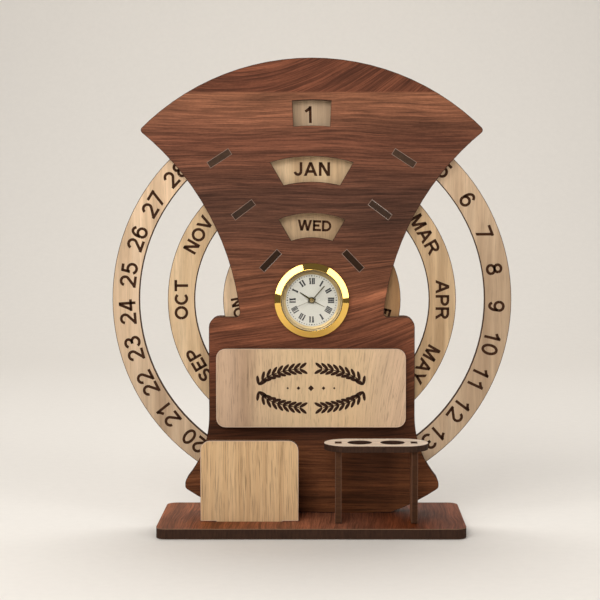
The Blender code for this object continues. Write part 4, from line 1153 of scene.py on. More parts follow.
STEM = Upright(0, 0, 0, 1)
FAR_STEM = Upright(1, 0, 1, 1)
MIDDLE_STEM = Upright(0.5, 0, 0.5, 1)
TOP = Level(0, 1, 1)
FOOT = Level(0, 1, 0)
GLYPHS = {
    "A": (1.0, (Upright(0, 0, 0.5, 1), Upright(1, 0, 0.5, 1), Level(0.2, 0.8, 0.28))),
    "B": (0.86, (STEM, bowl(1, 0.53, 0.5, 0.42), bowl(0.53, 0, 0.52, 0.48))),
    "C": (0.92, (Bow(0.5, 0.5, 0.5, 0.5, 42, 318),)),
    "D": (0.86, (STEM, bowl(1, 0, 0.42, 0.58))),
    "E": (0.74, (STEM, TOP, Level(0, 0.94, 0.52), Level(0, 1.02, 0))),
    "F": (0.68, (STEM, TOP, Level(0, 0.86, 0.5))),
    "G": (0.97, (Bow(0.5, 0.5, 0.5, 0.5, 45, 322), Level(0.55, 1, 0.42), Upright(1, 0.1, 1, 0.46))),
    "H": (0.82, (STEM, FAR_STEM, Level(0, 1, 0.5))),
    "I": (0.19, (MIDDLE_STEM,)),
    "J": (0.64, (Upright(1, 0.3, 1, 1), Bow(0.5, 0.3, 0.5, 0.3, 0, -172))),
    "L": (0.71, (STEM, FOOT)),
    "M": (0.98, (STEM, FAR_STEM, Upright(0.5, 0, 0.03, 1), Upright(0.5, 0, 0.97, 1))),
    "N": (0.82, (STEM, FAR_STEM, Upright(1, 0, 0, 1))),
    "O": (0.99, ring(0.5, 0.5, 0.5)),
    "P": (0.8, (STEM, bowl(1, 0.44, 0.5, 0.5))),
    "R": (0.9, (STEM, bowl(1, 0.48, 0.48, 0.45), Upright(1, 0, 0.55, 0.5))),
    "S": (0.82, ((Bow(0.5, 0.75, 0.46, 0.25, 20, 270), Bow(0.5, 0.25, 0.5, 0.25, 90, -160)),)),
    "T": (0.83, (TOP, MIDDLE_STEM)),
    "U": (0.82, (Upright(0, 0.35, 0, 1), Upright(1, 0.35, 1, 1), Bow(0.5, 0.35, 0.5, 0.35, 180, 360))),
    "V": (0.94, (Upright(0.5, 0, 0, 1), Upright(0.5, 0, 1, 1))),
    "W": (1.32, (Upright(0.25, 0, 0, 1), Upright(0.25, 0, 0.5, 1), Upright(0.75, 0, 0.5, 1),
                 Upright(0.75, 0, 1, 1))),
    "Y": (0.94, (Upright(0.5, 0, 0.5, 0.46), Upright(0.5, 0.38, 0, 1), Upright(0.5, 0.38, 1, 1))),
    "0": (0.68, ring(0.5, 0.5, 0.5)),
    "1": (0.68, (Upright(0.66, 0, 0.66, 1), ((0.08, 0.72), (0.42, 0.85), (0.66, 1.0)))),
    "2": (0.68, ((Bow(0.5, 0.71, 0.48, 0.29, 172, -38), (0.03, 0.02)), FOOT)),
    "3": (0.68, ((Bow(0.48, 0.765, 0.46, 0.235, 158, -90), (0.34, 0.53)),
                 ((0.34, 0.53), (0.48, 0.53), Bow(0.48, 0.265, 0.52, 0.265, 90, -165)))),
    "4": (0.7, (Upright(0.74, 0, 0.74, 1), Level(0, 1, 0.25), Upright(0.02, 0.25, 0.68, 1))),
    "5": (0.68, (Level(0.22, 0.94, 1), Upright(0.09, 0.45, 0.22, 1), Bow(0.46, 0.32, 0.54, 0.32, 135, -162))),
    "6": (0.68, (*ring(0.31, 0.5, 0.31), Bow(0.52, 0.5, 0.52, 0.5, 40, 192))),
    "7": (0.68, (TOP, Upright(0.28, 0, 0.94, 0.95))),
    "8": (0.68, (*ring(0.765, 0.43, 0.235), *ring(0.265, 0.5, 0.265))),
    "9": (0.68, (*ring(0.69, 0.5, 0.31), Bow(0.48, 0.5, 0.48, 0.5, 220, 372))),
}
KERNING = {"AY": 0.16, "AU": 0.02, "FE": 0.02, "OV": 0.08, "OC": 0.02, "CT": 0.02, "SA": 0.04, "AT": 0.14}
BOW_STEP_DEGREES = 12
SHORTEST_STEP = 0.004


@dataclass(frozen=True)
class Lettering:
    """Plain upright letters as thin solid shapes.

    Attributes:
        cap_height: the height of a letter.
        weight: the width of a stroke, as a share of that height.
        gap: the space between letters, as a share of it.
        thickness: how thick the letters are.
    """

    cap_height: float
    weight: float
    gap: float = 0.11
    thickness: float = 0.00003

    def mesh(self, words: str) -> Mesh:
        """Builds words.

        Args:
            words: the words.

        Returns:
            The mesh, centred on the origin and standing on z 0.
        """
        shapes, at = [], 0.0
        for i, letter in enumerate(words):
            width, strokes = GLYPHS[letter]
            shapes += [[(at + x, y) for x, y in self.outline(stroke, width)] for stroke in strokes]
            at += width + self.gap - KERNING.get(words[i:i + 2], 0.0)
        middle = (at - self.gap) / 2
        placed = [[((x - middle) * self.cap_height, (y - 0.5) * self.cap_height) for x, y in shape]
                  for shape in shapes]
        return plate(placed, self.thickness, "letters")

    def outline(self, stroke: object, width: float) -> list[Point]:
        """Returns the corners of one stroke.

        Args:
            stroke: an upright, a level, a bow, or a run of points and bows.
            width: the letter's width, as a share of its height.

        Returns:
            The corners, in shares of the height, with the letter's lower left corner at the origin.
        """
        half = self.weight / 2
        box = (width - self.weight, 1.0 - self.weight)
        if isinstance(stroke, Level):
            left = 0.0 if stroke.left == 0 else half + stroke.left * box[0]
            right, y = half * (1 + (stroke.right >= 1)) + stroke.right * box[0], half + stroke.height * box[1]
            return [(left, y - half), (right, y - half), (right, y + half), (left, y + half)]
        if isinstance(stroke, Upright):
            low = 0.0 if stroke.low == 0 else half + stroke.low * box[1]
            high = 1.0 if stroke.high == 1 else half + stroke.high * box[1]
            thick = half * math.hypot(1.0, (stroke.high_x - stroke.low_x) * box[0] / (high - low))
            foot, head = (half + x * box[0] + (thick - half) * (1 - 2 * x)
                          for x in (stroke.low_x, stroke.high_x))
            return [(foot - thick, low), (foot + thick, low), (head + thick, high), (head - thick, high)]
        places = []
        for step in (stroke,) if isinstance(stroke, Bow) else stroke:
            if isinstance(step, Bow):
                count = max(3, round(abs(step.end - step.start) / BOW_STEP_DEGREES))
                angles = [math.radians(step.start + (step.end - step.start) * i / count)
                          for i in range(count + 1)]
                places += [(step.x + step.across * math.cos(angle), step.y + step.upward * math.sin(angle))
                           for angle in angles]
            else:
                places.append(step)
        return ribbon([(half + x * box[0], half + y * box[1]) for x, y in places], half)


def ribbon(middle: Sequence[Point], half: float) -> list[Point]:
    """Broadens an open run of points into a stroke of one width.

    Args:
        middle: the run.
        half: half the stroke's width.

    Returns:
        The stroke's outline.
    """
    points = [Vector(middle[0])]
    for point in middle[1:]:
        if (Vector(point) - points[-1]).length > SHORTEST_STEP:
            points.append(Vector(point))
    left, right = [], []
    for i, point in enumerate(points):
        after = points[min(i + 1, len(points) - 1)]
        run = (after - points[max(i - 1, 0)]).normalized()
        aside = Vector((-run.y, run.x))
        if 0 < i < len(points) - 1:
            aside /= max(STROKE_MITRE, aside @ Vector((-(after - point).y, (after - point).x)).normalized())
        left.append(tuple(point + aside * half))
        right.append(tuple(point - aside * half))
    return right + left[::-1]


@dataclass(frozen=True)
class CalendarRing:
    """One calendar ring with its burnt words.

    Attributes:
        kind: what it counts, which names its node and its body.
        veneer: the veneer of its faces.
        seed: moves its grain.
        spots: its patches of painted light and painted shade.
        piece: the name of its words' piece.
        words: what stands on it, clockwise from the top.
        first_angle: where the first word stands, in degrees clockwise from the top.
        radius: how far from the centre the words' middles are.
        style: the letters.
    """

    kind: str
    veneer: Veneer
    seed: float
    spots: Sequence[Spot]
    piece: str
    words: Sequence[str]
    first_angle: float
    radius: float
    style: Lettering

    def build(self, ink: Material) -> None:
        """Dresses the ring and burns its words in.

        Args:
            ink: the burnt finish.
        """
        node = self.kind + "_ring"
        BoardFinish(node + "_ash", node, self.veneer, Axis.Z, Axis.Y, self.seed, spots=self.spots).dress()
        stand = face_frame(front_of(node), middle_of(node))
        step = 2 * math.pi / len(self.words)
        first = -math.radians(self.first_angle)
        parts = [(self.style.mesh(word), stand @ spun(first - i * step, self.radius))
                 for i, word in enumerate(self.words)]
        publish(self.piece, joined(parts, self.piece), self.kind + "_wheel", ink)


@dataclass
class CalendarRings:
    """The three rings."""

    rings: Sequence[CalendarRing] = (
        CalendarRing("date", ASH_DATE, 3.1, DATE_PAINTED_LIGHT, "date_numbers", [str(day) for day in range(1, 32)],
                     -0.9, 0.0918, Lettering(0.0083, 0.164)),
        CalendarRing("month", ASH_MONTH, 8.4, (), "month_names",
                     "JAN FEB MAR APR MAY JUN JUL AUG SEP OCT NOV DEC".split(), 0.0, 0.0649,
                     Lettering(0.0068, 0.198, 0.1)),
        CalendarRing("day", ASH_DAY_AND_PAINTED_LIGHT, 14.6, DAY_PAINTED_SHADE, "day_names", "WED THU FRI SAT SUN MON TUE".split(),
                     2.0, 0.0369, Lettering(0.0054, 0.212, 0.09)),
    )

    def build(self) -> None:
        """Builds the rings with one ink."""
        ink = CharFinish("burnt_lettering", (0.042, 0.0155, 0.006)).material()
        for ring_of_words in self.rings:
            ring_of_words.build(ink)


@dataclass
class Boards:
    """Everything cut from board that stands still."""

    pegs: Sequence[tuple[str, Triple]] = (("date", (0.056, 0.031, 0.0185)), ("month", (0.042, 0.023, 0.014)),
                                          ("day", (0.025, 0.0115, 0.005)))
    # Rows of side, seed and the colour of the charred wall. The right leg's wall is darker than the left
    # one's: painted shade, as less light reaches the right leg.
    legs: Sequence[tuple[str, float, Triple]] = (("left", 21.0, (0.062, 0.025, 0.0105)),
                                                 ("right", 25.5, (0.047, 0.018, 0.007)))
    base_lip: Triple = (0.2, 0.115, 0.07)
    oak_lip: Triple = (0.42, 0.28, 0.165)
    rest_lip: Triple = (0.08, 0.045, 0.03)
    leg_lip: Triple = (0.11, 0.055, 0.033)

    def build(self) -> None:
        """Dresses the boards."""
        for node, seed in (("front_panel", 5.2), ("rear_panel", 31.7)):
            BoardFinish(node + "_walnut", node, WALNUT_PANEL_AND_PAINTED_SHADE, Axis.X, Axis.Y, seed, figure=PanelFigure(),
                        spots=PANEL_FIGURE_AND_PAINTED_LIGHT).dress()
        BoardFinish("base_walnut", "base_plate", WALNUT_BASE_AND_PAINTED_LIGHT, Axis.Y, Axis.Z, 2.3, self.base_lip,
                    lip_depth=0.3, lip_below=0.1).dress()
        for node, veneer, seed, marks in (("message_plate", OAK_PLATE, 1.7, PLATE_SPOTS),
                                          ("card_pocket_front", OAK_POCKET, 9.3, ())):
            BoardFinish(node + "_oak", node, veneer, Axis.Z, Axis.Y, seed, self.oak_lip, spots=marks).dress()
        BoardFinish("rest_oak", "pen_rest_top", OAK_REST_AND_PAINTED_SHEEN, Axis.X, Axis.Z, 17.9, self.rest_lip,
                    lip_below=0.0).dress()
        for side, seed, char in self.legs:
            node = "pen_rest_leg_" + side
            BoardFinish(node + "_walnut", node, WALNUT_LEG, Axis.Z, Axis.X, seed, self.leg_lip,
                        char=char).dress()
        for kind, colour in self.pegs:
            dress([f"{kind}_peg_{side}" for side in ("left", "right")],
                  CharFinish(kind + "_peg_char", colour, 0.7, 0.3, 2.0).material())


@dataclass
class CutLines:
    """The thin lines along the cuts of a face: dark scorch lines that the laser leaves, and pale lines that
    are painted highlights along the arrises of the slots, the message plate and the pocket.
    """

    thickness: float = 0.00004
    peg_gap: float = 0.00015
    largest_slot: float = 0.014
    slot_width: float = 0.00035
    panel_width: float = 0.0002
    board_width: float = 0.0003
    edge_width: float = 0.00025
    bore_width: float = 0.0004

    def build(self) -> None:
        """Traces the boards' outlines and lays the lines."""
        scorch = CharFinish("scorch_line", (0.05, 0.024, 0.015), 0.7, 0.5, 4.0).material()
        # Painted highlights: pale lines standing for the light caught on the rounded arrises of the slots and
        # of the oak boards.
        pale = CharFinish("painted_slot_highlight", (0.25, 0.165, 0.125), 0.8, 0.3, 6.0).material()
        light = CharFinish("painted_edge_highlight", (0.64, 0.45, 0.32), 0.5, 0.12, 6.0).material()
        runs = front_outlines("front_panel")
        slots = [run for run in runs if self.size(run) < self.largest_slot]
        others = [run for run in runs if self.size(run) >= self.largest_slot]
        y = front_of("front_panel")
        self.lay("slot_highlight_lines", slots, self.slot_width, y, pale, over=self.peg_gap)
        self.lay("panel_scorch_lines", others, self.panel_width, y, scorch)
        for node in ("message_plate", "card_pocket_front"):
            self.lay(node + "_lines", front_outlines(node), self.board_width, front_of(node), light)
        for kind in ("date", "month", "day"):
            node = kind + "_ring"
            outside, bore = sorted(front_outlines(node), key=self.size, reverse=True)
            self.lay(node + "_edge_line", [outside], self.edge_width, front_of(node), scorch, kind + "_wheel")
            self.lay(node + "_bore_line", [bore], self.bore_width, front_of(node), scorch, kind + "_wheel")

    def size(self, run: Sequence[Point]) -> float:
        """Returns how far an outline reaches."""
        return max(max(places) - min(places) for places in zip(*run))

    def lay(self, name: str, runs: Sequence[Sequence[Point]], width: float, y: float, material: Material,
            body: str = "stand", over: float = 0.0) -> None:
        """Lays lines just inside the outlines.

        Args:
            name: the piece's name.
            runs: the outlines.
            width: how wide the line is.
            y: where the face is.
            material: the line's material.
            body: the body that the board belongs to.
            over: how far the line reaches over the outlines.
        """
        values = {"Width": width, "Thickness": self.thickness, "Material": material}
        mesh = line_tree().run(values, edges_mesh([inset(run, width / 2 - over) for run in runs]))
        mesh.transform(face_frame(y))
        publish(name, mesh, body, material)


@dataclass
class MessageOrnament:
    """A plain oval of four leafy sprigs in the middle of the message plate."""

    half_length: float = 0.0262
    half_height: float = 0.0098
    gap_degrees: float = 13.0
    side_degrees: float = 9.0
    steps: int = 24
    leaves: int = 9
    leaf_length: float = 0.0046
    leaf_width: float = 0.0016
    splay: float = 0.6
    stem_width: float = 0.0005
    thickness: float = 0.00003
    diamonds: Sequence[Point] = ((0.0, 0.0015), (0.0062, 0.0009375), (-0.0062, 0.0009375), (0.0115, 0.000625),
                                 (-0.0115, 0.000625))

    def build(self) -> None:
        """Builds the four sprigs and the diamonds between them."""
        ink = CharFinish("burnt_ornament", (0.03, 0.012, 0.006)).material()
        stems = [self.stem(way, lift) for way in (1, -1) for lift in (1, -1)]
        values = {"Leaves": self.leaves, "Leaf Length": self.leaf_length, "Leaf Width": self.leaf_width,
                  "Splay": self.splay, "Thickness": 2 * self.thickness, "Material": ink}
        meshes = [sprig_tree().run(values, edges_mesh([stem], False)) for stem in stems]
        line = {"Width": self.stem_width, "Thickness": 2 * self.thickness, "Material": ink}
        meshes.append(line_tree().run(line, edges_mesh(stems, False)))
        outlines = [[(x, -reach), (x + reach, 0.0), (x, reach), (x - reach, 0.0)]
                    for x, reach in self.diamonds]
        meshes.append(plate(outlines, self.thickness, "diamonds"))
        stand = face_frame(front_of("message_plate"), middle_of("message_plate"))
        mesh = joined([(part, stand) for part in meshes], "message_ornament")
        publish("message_ornament", mesh, "stand", ink)

    def stem(self, way: int, lift: int) -> list[Point]:
        """Returns a quarter of the oval, from its side towards its middle.

        Args:
            way: 1 for the right half and -1 for the left.
            lift: 1 for the upper half and -1 for the lower.

        Returns:
            The quarter's points.
        """
        reach = 90.0 - self.gap_degrees - self.side_degrees
        angles = [math.radians(self.side_degrees + reach * i / self.steps) for i in range(self.steps + 1)]
        return [(way * self.half_length * math.cos(angle), lift * self.half_height * math.sin(angle))
                for angle in angles]


NUMERALS = ("XII", "I", "II", "III", "IIII", "V", "VI", "VII", "VIII", "IX", "X", "XI")
NUMERAL_WIDTHS = {"I": 0.30, "V": 0.54, "X": 0.54}


@dataclass
class Dial:
    """The printed dial: numerals, minute track and the finish of the plate."""

    numeral_height: float = 0.0031
    numeral_radius: float = 0.0095
    widest_numeral: float = 0.0031
    letter_gap: float = 0.015
    thickness: float = 0.00001
    track_radius: float = 0.0121
    dots: Sequence[tuple[int, float]] = ((60, 0.00024), (12, 0.00034))
    stem: float = 0.26
    hair: float = 0.12
    serif: float = 0.06
    stem_inset: float = 0.75
    hair_inset: float = 1.6
    broad_serif: float = 0.26
    stem_serif: float = 0.24
    hair_serif: float = 0.2

    def build(self) -> None:
        """Builds the print and dresses the dial."""
        enamel = PlasticFinish("dial_enamel", (0.485, 0.465, 0.395), 0.45, 0.12, 0.000004, 0.02).material()
        dress(["clock_dial"], enamel)
        ink = PlasticFinish("dial_ink", (0.006, 0.006, 0.007), 0.6, 0.1, 0.000002, 0.1).material()
        stand = face_frame(front_of("clock_dial"), middle_of("clock_dial"))
        hours = [(plate(self.strokes(numeral), self.thickness, "numeral"),
                  stand @ spun(-hour * math.pi / 6, self.numeral_radius))
                 for hour, numeral in enumerate(NUMERALS)]
        dots = []
        for count, size in self.dots:
            values = {"Count": count, "Radius": self.track_radius, "Dot Radius": size,
                      "Thickness": 2 * self.thickness, "Material": ink}
            dots.append((dots_tree().run(values), stand))
        for name, parts in (("dial_numerals", hours), ("minute_dots", dots)):
            publish(name, joined(parts, name), "stand", ink)

    def strokes(self, numeral: str) -> list[list[Point]]:
        """Draws a numeral, centred on the origin.

        Args:
            numeral: its letters.

        Returns:
            Each stroke's corners, anticlockwise.
        """
        drawn, at = [], 0.0
        for letter in numeral:
            width = NUMERAL_WIDTHS[letter]
            drawn += [[(at + x, y) for x, y in stroke] for stroke in self.letter(letter, width)]
            at += width + self.letter_gap
        total = at - self.letter_gap
        across = min(self.numeral_height, self.widest_numeral / total)
        return [[((x - total / 2) * across, (y - 0.5) * self.numeral_height) for x, y in stroke]
                for stroke in drawn]

    def letter(self, letter: str, width: float) -> list[list[Point]]:
        """Returns the strokes of one letter.

        Args:
            letter: the letter.
            width: its width, as a share of its height.

        Returns:
            Each stroke's corners.
        """
        middle, foot, top = width / 2, self.serif, 1.0 - self.serif
        inward = self.hair * self.hair_inset
        left, right = self.stem * self.stem_inset, width - inward
        if letter == "I":
            return [self.bar(middle, middle, self.stem, foot, top), self.foot(middle, width, 0.0),
                    self.foot(middle, width, top)]
        if letter == "V":
            return [self.bar(middle, left, self.stem, 0.0, top), self.bar(middle, right, self.hair, 0.0, top),
                    self.foot(left, self.broad_serif, top), self.foot(right, self.hair_serif, top)]
        return [self.bar(width - left, left, self.stem, foot, top),
                self.bar(inward, right, self.hair, foot, top),
                self.foot(left, self.stem_serif, top), self.foot(right, self.hair_serif, top),
                self.foot(width - left, self.stem_serif, 0.0), self.foot(inward, self.hair_serif, 0.0)]

    def bar(self, low_x: float, high_x: float, thick: float, low: float, high: float) -> list[Point]:
        """Returns a stroke that runs from low_x at the bottom to high_x at the top."""
        half = thick / 2
        return [(low_x - half, low), (low_x + half, low), (high_x + half, high), (high_x - half, high)]

    def foot(self, middle: float, width: float, low: float) -> list[Point]:
        """Returns a serif that starts at height low."""
        return self.bar(middle, middle, width, low, low + self.serif)


@dataclass
class InsertClock:
    """The metal, glass and plastic of the insert clock.

    A profile's corners are rows of radius, height and rounding, in millimetres.
    """

    bezel: Sequence[Triple] = (
        (17.6, 0.3, 0), (18.45, 0.3, 0.06), (18.45, 1.6, 0.1), (18.25, 1.7086, 0), (15.6, 3.1474, 0),
        (15.4, 3.256, 0.1), (15.16, 3.22, 0.06), (15.16, 3.02, 0.05), (15.8, 3.02, 0), (15.8, 1.3, 0),
        (17.6, 1.3, 0))
    reflector: Sequence[Triple] = (
        (12.9, 0.2, 0), (14.8, 0.2, 0), (14.8, 1.3, 0), (15.6, 1.3, 0), (15.6, 1.55, 0.05),
        (14.95, 1.58, 0.1), (14.46, 1.25, 0.1), (14.4, 0.5, 0), (14.08, 0.5, 0), (14.02, 1, 0.05),
        (12.9, 0.42, 0.05))
    # A dark ring under the bezel's lip: painted shadow, where the lip shades the edge of the reflector.
    seal: Sequence[Triple] = ((14.88, 2.88, 0), (15.13, 2.88, 0), (15.13, 3.12, 0.05), (14.93, 3.12, 0.05))
    cap: Sequence[Triple] = ((0.42, 1.57, 0), (1, 1.57, 0), (1, 1.74, 0.14), (0.72, 1.86, 0.15),
                             (0.42, 1.64, 0.05))
    turning_steps: int = 256
    cap_steps: int = 48
    hub_reach: float = 0.0012

    def build(self) -> None:
        """Dresses the clock's nodes and adds its small parts."""
        gold = MetalFinish("polished_gold", (0.93, 0.58, 0.14), 0.045, 0.02).material()
        satin = MetalFinish("reflector_gold", (0.50, 0.37, 0.175), 0.58, 0.06, 0.00001, 0.3).material()
        hand = MetalFinish("hand_gold", (0.085, 0.066, 0.02), 0.35, 0.06).material()
        thin = MetalFinish("thin_hand_gold", (0.13, 0.11, 0.06), 0.35, 0.06).material()
        hub = MetalFinish("hub_gold", (0.36, 0.25, 0.08), 0.34, 0.06).material()
        brass = MetalFinish("machined_brass", (0.75, 0.55, 0.26), 0.3, 0.1, 0.00001, 0.2).material()
        steel = MetalFinish("nickel_plate", (0.62, 0.61, 0.58), 0.22, 0.1, 0.00001, 0.3).material()
        copper = MetalFinish("contact_copper", (0.86, 0.48, 0.3), 0.3, 0.1).material()
        black = PlasticFinish("black_moulding", (0.018, 0.018, 0.02), 0.5, 0.2, 0.00003).material()
        nylon = PlasticFinish("natural_nylon", (0.72, 0.71, 0.66), 0.5, 0.4).material()
        rubber = PlasticFinish("gripper_rubber", (0.035, 0.035, 0.035), 0.75, 0.5, 0.00003).material()
        green = PlasticFinish("circuit_green", (0.015, 0.13, 0.05), 0.35, 0.3, 0.00001, 0.15, 0.5).material()
        for nodes, material in (
                ("clock_bezel", gold), ("reflector_ring", satin),
                ("clock_lens", GlassFinish("clear_lens").material()),
                ("cannon_pinion hour_wheel minute_wheel second_arbor", brass), ("battery buzzer_disc", steel),
                ("alarm_wheel alarm_setting_wheel movement_ring main_plate train_housing", nylon),
                ("drive_coil battery_contact", copper), ("circuit_board", green), ("gripper_ring", rubber),
                ("clock_case back_cover battery_hatch time_knob alarm_knob", black)):
            dress(nodes.split(), material)
        stand = face_frame(front_of("front_panel"), middle_of("clock_bezel"))
        for name, node, corners, material in (("turned_bezel", "clock_bezel", self.bezel, gold),
                                              ("turned_reflector", "reflector_ring", self.reflector, satin)):
            mesh = turned(corners, self.turning_steps, stand, name)
            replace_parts(publish(name, mesh, "stand", material), node)
        # The dark ring of painted shadow under the bezel's lip.
        seal = turned(self.seal, self.turning_steps, stand, "painted_lip_shadow")
        publish("painted_lip_shadow", seal, "stand", black)
        cap = turned(self.cap, self.cap_steps, stand, "hub_cap")
        publish("hub_cap", cap, "second_set", hub)
        for kind, broader, slot, material in (
                ("hour", 1.8, "dark_gold", hand), ("minute", 3.1, "dark_gold", hand),
                ("second", 3.8, "polished_gold", thin), ("alarm", 1.7, "polished_gold", thin)):
            name = kind + "_hand"
            mesh = self.blade(name, stand.translation, broader)
            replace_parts(publish("pressed_" + name, mesh, kind + "_set", material), name)

    def blade(self, node: str, centre: Vector, broader: float) -> Mesh:
        """Returns a hand's mesh with its blade made broader.

        Args:
            node: the hand's node.
            centre: the clock's centre.
            broader: how many times as broad the blade gets outside the hub.

        Returns:
            The mesh.
        """
        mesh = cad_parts[node].data.copy()
        flat = [Vector((corner.co.x - centre.x, corner.co.z - centre.z)) for corner in mesh.vertices]
        run = max(flat, key=lambda point: point.length).normalized()
        aside = Vector((-run.y, run.x))
        for corner, point in zip(mesh.vertices, flat):
            if abs(point @ run) > self.hub_reach:
                moved = aside * (point @ aside) * (broader - 1.0)
                corner.co.x += moved.x
                corner.co.z += moved.y
        return mesh


@dataclass
class Movement:
    """What the closed movement holds beyond its nodes: the coil's wire, a chip and a quartz can."""

    wire_radius: float = 0.00007
    wire_turns: float = 52.0
    wound_length: float = 0.0074
    cheek: float = 0.0004
    chip: Sequence[Triple] = ((0.03, 0, 0), (1.7, 0, 0.1), (1.55, 0.3, 0.2), (0.9, 0.52, 0.3),
                              (0.03, 0.6, 0))
    chip_place: Point = (0.0094, 0.1206)
    can: Sequence[Triple] = ((0.03, 0, 0), (0.8, 0, 0.1), (0.8, 0.25, 0.05), (0.7, 0.3, 0.05),
                             (0.7, 4.2, 0.25), (0.03, 4.25, 0))
    can_place: Triple = (-0.0118, 0.0115, 0.1195)
    steps: int = 40

    def build(self) -> None:
        """Builds the three pieces."""
        wire = EnamelWireFinish("coil_wire", (0.72, 0.27, 0.1), 0.22).material()
        low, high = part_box("drive_coil")
        middle = [(a + b) / 2 for a, b in zip(low, high)]
        bobbin = (high[2] - low[2]) / 2 - self.cheek
        values = {"Turns": self.wire_turns, "Radius": bobbin + self.wire_radius, "Length": self.wound_length,
                  "Wire Radius": self.wire_radius, "Material": wire}
        mesh = winding_tree().run(values)
        mesh.transform(Matrix.Translation(middle) @ Matrix.Rotation(math.pi / 2, 4, "Y")
                       @ Matrix.Translation((0.0, 0.0, -self.wound_length / 2)))
        publish("coil_winding", mesh, "stand", wire)
        epoxy = PlasticFinish("chip_epoxy", (0.012, 0.012, 0.013), 0.35, 0.3, 0.00002).material()
        stand = back_frame(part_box("circuit_board")[1][1], self.chip_place)
        blob = turned(self.chip, self.steps, stand, "chip_blob")
        publish("chip_blob", blob, "stand", epoxy)
        tin = MetalFinish("tin_plate", (0.66, 0.65, 0.62), 0.25, 0.1, 0.00001, 0.3).material()
        stand = Matrix.Translation(self.can_place) @ Matrix.Rotation(math.pi, 4, "X")
        can = turned(self.can, self.steps, stand, "quartz_can")
        publish("quartz_can", can, "stand", tin)


@dataclass
class BackMarks:
    """The printed arrows on the back of the clock, which say how the knobs and the hatch turn."""

    width: float = 0.0003
    thickness: float = 0.00003
    head: float = 0.0009
    space: float = 0.0011
    steps: int = 24
    sweeps: Sequence[tuple[str, float, float]] = (("time_knob", 150.0, 40.0), ("alarm_knob", 30.0, 140.0),
                                                  ("battery_hatch", 62.0, 118.0))

    def build(self) -> None:
        """Prints an arrow beside each knob and one beside the hatch."""
        paint = PlasticFinish("mark_paint", (0.42, 0.42, 0.41), 0.6, 0.2, 0.000004).material()
        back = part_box("back_cover")[1][1]
        for node, first, last in self.sweeps:
            low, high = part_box(node)
            mesh = self.arrow((high[2] - low[2]) / 2 + self.space, first, last, paint)
            mesh.transform(back_frame(back, middle_of(node)))
            publish(node + "_arrow", mesh, "stand", paint)

    def arrow(self, radius: float, first: float, last: float, paint: Material) -> Mesh:
        """Builds a round arrow that runs from one angle to another.

        Args:
            radius: the radius of its run.
            first: the angle at which it starts, in degrees.
            last: the angle at which it ends.
            paint: its material.

        Returns:
            The arrow's mesh.
        """
        angles = [math.radians(first + (last - first) * i / self.steps) for i in range(self.steps + 1)]
        run = [(radius * math.cos(angle), radius * math.sin(angle)) for angle in angles]
        turn = math.copysign(1.0, last - first)
        out = Vector((math.cos(angles[-1]), math.sin(angles[-1])))
        ahead = Vector((-out.y, out.x)) * turn
        tip = out * radius
        corners = [tip - out * self.head / 2, tip + ahead * self.head, tip + out * self.head / 2]
        if turn > 0:
            corners.reverse()
        values = {"Width": self.width, "Thickness": 2 * self.thickness, "Material": paint}
        line = line_tree().run(values, edges_mesh([run], False))
        head = plate([[tuple(corner) for corner in corners]], self.thickness, "head")
        return joined([(part, Matrix.Identity(4)) for part in (line, head)], "arrow")


@dataclass(frozen=True)
class Lamp:
    """A soft rectangular lamp.

    Attributes:
        name: its name.
        place: where it is.
        target: what it points at.
        size: its width and height.
        power: its power in watts.
        roll: how far it is turned about its own beam, in degrees.
    """

    name: str
    place: Triple
    target: Triple
    size: Point
    power: float
    roll: float = 0.0

    def build(self) -> None:
        """Adds the lamp to the scene."""
        data = bpy.data.lights.new(self.name, "AREA")
        data.shape = "RECTANGLE"
        data.size, data.size_y = self.size
        data.energy = self.power
        lamp = bpy.data.objects.new(self.name, data)
        lamp.location = self.place
        lamp.rotation_mode = "QUATERNION"
        aim = (Vector(self.target) - Vector(self.place)).to_track_quat("-Z", "Y")
        lamp.rotation_quaternion = aim @ Quaternion((0.0, 0.0, 1.0), math.radians(self.roll))
        bpy.context.scene.collection.objects.link(lamp)


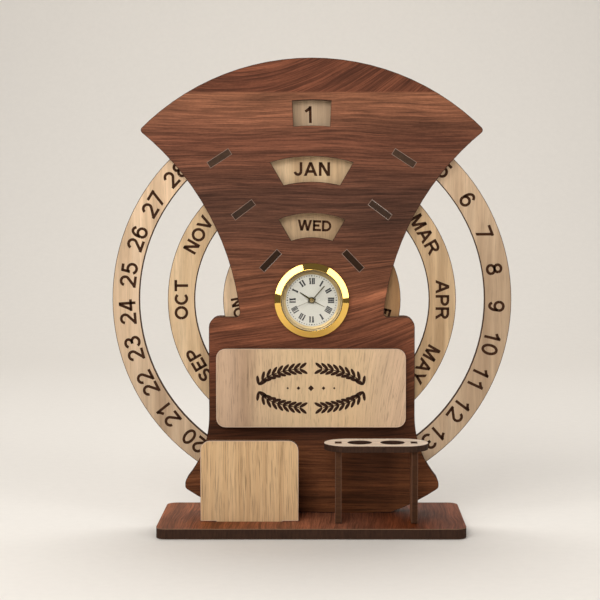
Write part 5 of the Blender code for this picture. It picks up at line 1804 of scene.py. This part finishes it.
@dataclass
class Studio:
    """A plain pale sweep, soft lamps and the camera."""

    floor_colour: Triple = (0.80, 0.75, 0.68)
    half_width: float = 0.7
    floor_drop: float = 0.0002
    front_edge: float = -1.6
    bend_start: float = 0.7
    bend_radius: float = 0.5
    bend_steps: int = 16
    top_edge: float = 2.4
    room_colour: Triple = (0.98, 0.97, 1.0)
    room_strength: float = 0.14
    camera_place: Triple = (0.00757, -0.79197, 0.17145)
    camera_pitch: float = 2.577
    camera_turn: float = 0.07
    camera_shift: Point = (-0.0419, -0.0818)
    camera_clip: Point = (0.01, 20.0)
    lens: float = 96.9
    lamps: Sequence[Lamp] = (
        Lamp("left_lamp", (-0.692, -0.641, 0.665), (0.0, 0.0, 0.11), (0.28, 1.14), 5.0, -20.0),
        Lamp("right_lamp", (0.771, -0.638, 0.539), (0.0, 0.0, 0.11), (0.28, 1.0), 3.4, 15.0),
        Lamp("front_lamp", (-0.3, -1.15, 0.85), (0.0, 0.0, 0.11), (0.6, 0.6), 7.5),
        Lamp("back_lamp", (0.0, 0.55, 1.25), (0.0, 0.1, 0.0), (0.9, 0.5), 10.0),
    )

    def build(self) -> None:
        """Builds the studio."""
        self.sweep()
        self.room()
        for lamp in self.lamps:
            lamp.build()
        self.camera()
        bpy.context.scene.view_settings.view_transform = "Standard"

    def sweep(self) -> None:
        """Builds the floor, which curves up into a backdrop."""
        angles = [math.pi / 2 * i / self.bend_steps for i in range(self.bend_steps + 1)]
        curve = [(self.bend_start + self.bend_radius * math.sin(angle),
                  self.bend_radius - self.bend_radius * math.cos(angle)) for angle in angles]
        profile = [(self.front_edge, 0.0), *curve, (self.bend_start + self.bend_radius, self.top_edge)]
        whole = bmesh.new()
        left, right = ([whole.verts.new((x, y, z - self.floor_drop)) for y, z in profile]
                       for x in (-self.half_width, self.half_width))
        for i in range(len(profile) - 1):
            whole.faces.new((left[i], right[i], right[i + 1], left[i + 1])).smooth = True
        mesh = closed(whole, "sweep", False)
        paper = PlasticFinish("pale_paper", self.floor_colour, 0.85, 1.5, 0.00001, 0.015)
        mesh.materials.append(paper.material())
        floor = bpy.data.objects.new("sweep", mesh)
        bpy.context.scene.collection.objects.link(floor)

    def room(self) -> None:
        """Gives the room a plain soft light."""
        world = bpy.data.worlds.new("room")
        world.use_nodes = True
        background = world.node_tree.nodes["Background"]
        background.inputs["Color"].default_value = (*self.room_colour, 1.0)
        background.inputs["Strength"].default_value = self.room_strength
        bpy.context.scene.world = world

    def camera(self) -> None:
        """Sets the camera where the photograph was taken from."""
        data = bpy.data.cameras.new("camera")
        data.lens = self.lens
        data.shift_x, data.shift_y = self.camera_shift
        data.clip_start, data.clip_end = self.camera_clip
        camera = bpy.data.objects.new("camera", data)
        camera.location = self.camera_place
        camera.rotation_euler = (math.radians(90.0 - self.camera_pitch), 0.0, math.radians(self.camera_turn))
        bpy.context.scene.collection.objects.link(camera)
        bpy.context.scene.camera = camera


def main() -> None:
    """Builds the scene in order."""
    logging.basicConfig(level=logging.INFO, format="%(message)s")
    for section in (Studio(), Boards(), CutLines(), CalendarRings(), MessageOrnament(), Dial(), InsertClock(),
                    Movement(), BackMarks()):
        section.build()


if __name__ == "__main__":
    main()
